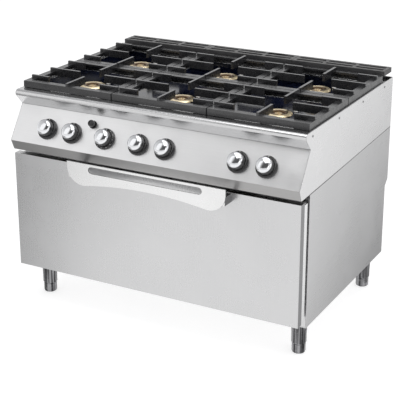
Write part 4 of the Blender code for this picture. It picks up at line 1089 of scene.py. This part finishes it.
low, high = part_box("burner_crown_front_left")
CROWN_UNDER = low.z
dish_master = round_blank("dish_master", [
    (0.0338, CROWN_UNDER + 0.0002), (0.0338, CROWN_UNDER + 0.0012), (0.0322, CROWN_UNDER + 0.0014),
    (0.0150, CROWN_UNDER + 0.0014), (0.0142, CROWN_UNDER + 0.0036), (0.0130, CROWN_UNDER + 0.0042),
    (0.0064, CROWN_UNDER + 0.0042), (0.0052, CROWN_UNDER + 0.0018),
], 48)
PORTS = 8
PORT_RING = 0.0238
PORT_RADIUS = 0.0034
for number in range(PORTS):
    angle = math.radians(360 // PORTS * number)
    port_walls = [(PORT_RADIUS, CROWN_UNDER - 0.001), (PORT_RADIUS, CROWN_UNDER + 0.003)]
    port = round_blank(f"dish_port_{number}", port_walls, 12)
    port.data.transform(Matrix.Translation((math.cos(angle) * PORT_RING, math.sin(angle) * PORT_RING, 0.0)))
    cut_with(dish_master, port)
soften(dish_master, 0.0, smooth=35.0)
for row, column in CELLS:
    spot = centres[row, column]
    node = f"burner_crown_{row}_{column}"
    brass = turned_brass(f"crown_brass_{row}_{column}", spot)
    ring = soften(copy_of(node, f"crown_{row}_{column}_ring"), 0.0007, 2)
    seat = Matrix.Translation((spot.x, spot.y, 0.0))
    dish = seated_copy(dish_master, f"crown_{row}_{column}_dish", seat)
    turning = joined(f"crown_{row}_{column}_turning", [ring, dish])
    settle(turning, brass, f"crown_{row}_{column}", "brass", node)
bpy.data.objects.remove(dish_master, do_unlink=True)

# A folded stainless hood shelters each pilot flame, with the thermocouple's tip beside it. It
# is screwed to the carrier's pilot post, just outside the crown.

pilot_steel = brushed_metal("pilot_hood_steel", (0.66, 0.65, 0.63), 0.30, (60.0, 300.0, 300.0), 0.12)
PILOT_OUT = 0.058
PILOT_BACK = 0.022
for row, column in CELLS:
    spot = centres[row, column]
    x, y = spot.x + PILOT_OUT, spot.y + PILOT_BACK
    hood = block("pilot_hood", (x - 0.0068, y - 0.0060, 0.8635), (x + 0.0072, y + 0.0062, 0.8648))
    for corner in hood.data.vertices:
        corner.co.z += (x - corner.co.x) * 0.16
    left_wall = block("pilot_wall", (x - 0.0066, y + 0.0050, 0.8500), (x + 0.0070, y + 0.0060, 0.8640))
    rear_wall = block("pilot_rear", (x + 0.0060, y - 0.0058, 0.8500), (x + 0.0070, y + 0.0060, 0.8640))
    tip = round_blank("pilot_thermocouple", [(0.0016, 0.846), (0.0016, 0.8606), (0.0009, 0.8622)], 14)
    tip.data.transform(Matrix.Translation((x - 0.0010, y - 0.0085, 0.0)))
    shelter = joined(f"pilot_hood_{row}_{column}", [hood, left_wall, rear_wall, tip])
    soften(shelter, 0.0003, 2, 30.0, 40.0)
    settle(shelter, pilot_steel, "cabinet", "polished_steel")

# ---------------------------------------------------------------- grates
# Six sand-cast iron pan supports in matt black enamel stand on small feet over the burners.
# Pans have rubbed the enamel thin along the tops of the ribs.

grate_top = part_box("grate_front_left")[1].z
grate_iron = cast_metal("grate_enamelled_iron", (0.012, 0.012, 0.013), (0.026, 0.026, 0.028), 0.24, 0.14,
                        grate_top - 0.004, (0.085, 0.085, 0.088))
grate_iron.node_tree.nodes["Principled BSDF"].inputs["IOR"].default_value = 1.65
FOOT_RISE = 0.005
SKIRT_DROP = 0.0034
for row, column in CELLS:
    name = f"grate_{row}_{column}"
    casting = copy_of(name, name + "_casting")
    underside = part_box(name)[0].z + FOOT_RISE
    for corner in casting.data.vertices:
        if abs(corner.co.z - underside) < 0.0007:
            corner.co.z -= SKIRT_DROP
    settle(soften(casting, 0.0015), grate_iron, name, "cast_iron", name)

# ---------------------------------------------------------------- flue
# Three cast grilles lie end to end over the sheet duct that lets the oven's gases out behind
# the hob. They lift off, and the joints between them show as fine gaps.

flue_iron = cast_metal("flue_grille_iron", (0.022, 0.022, 0.024), (0.045, 0.044, 0.045), 0.46, 0.30,
                       0.895, (0.07, 0.068, 0.066))
for side in ("left", "centre", "right"):
    sheet_from("flue_grille_" + side, "flue_grille_casting_" + side, 0.0014, flue_iron,
               body="flue_grille_" + side, slot="cast_iron")
sheet_from("flue_duct", "flue_duct_sheet", 0.0006, liner_steel, slot="aluminised_steel")
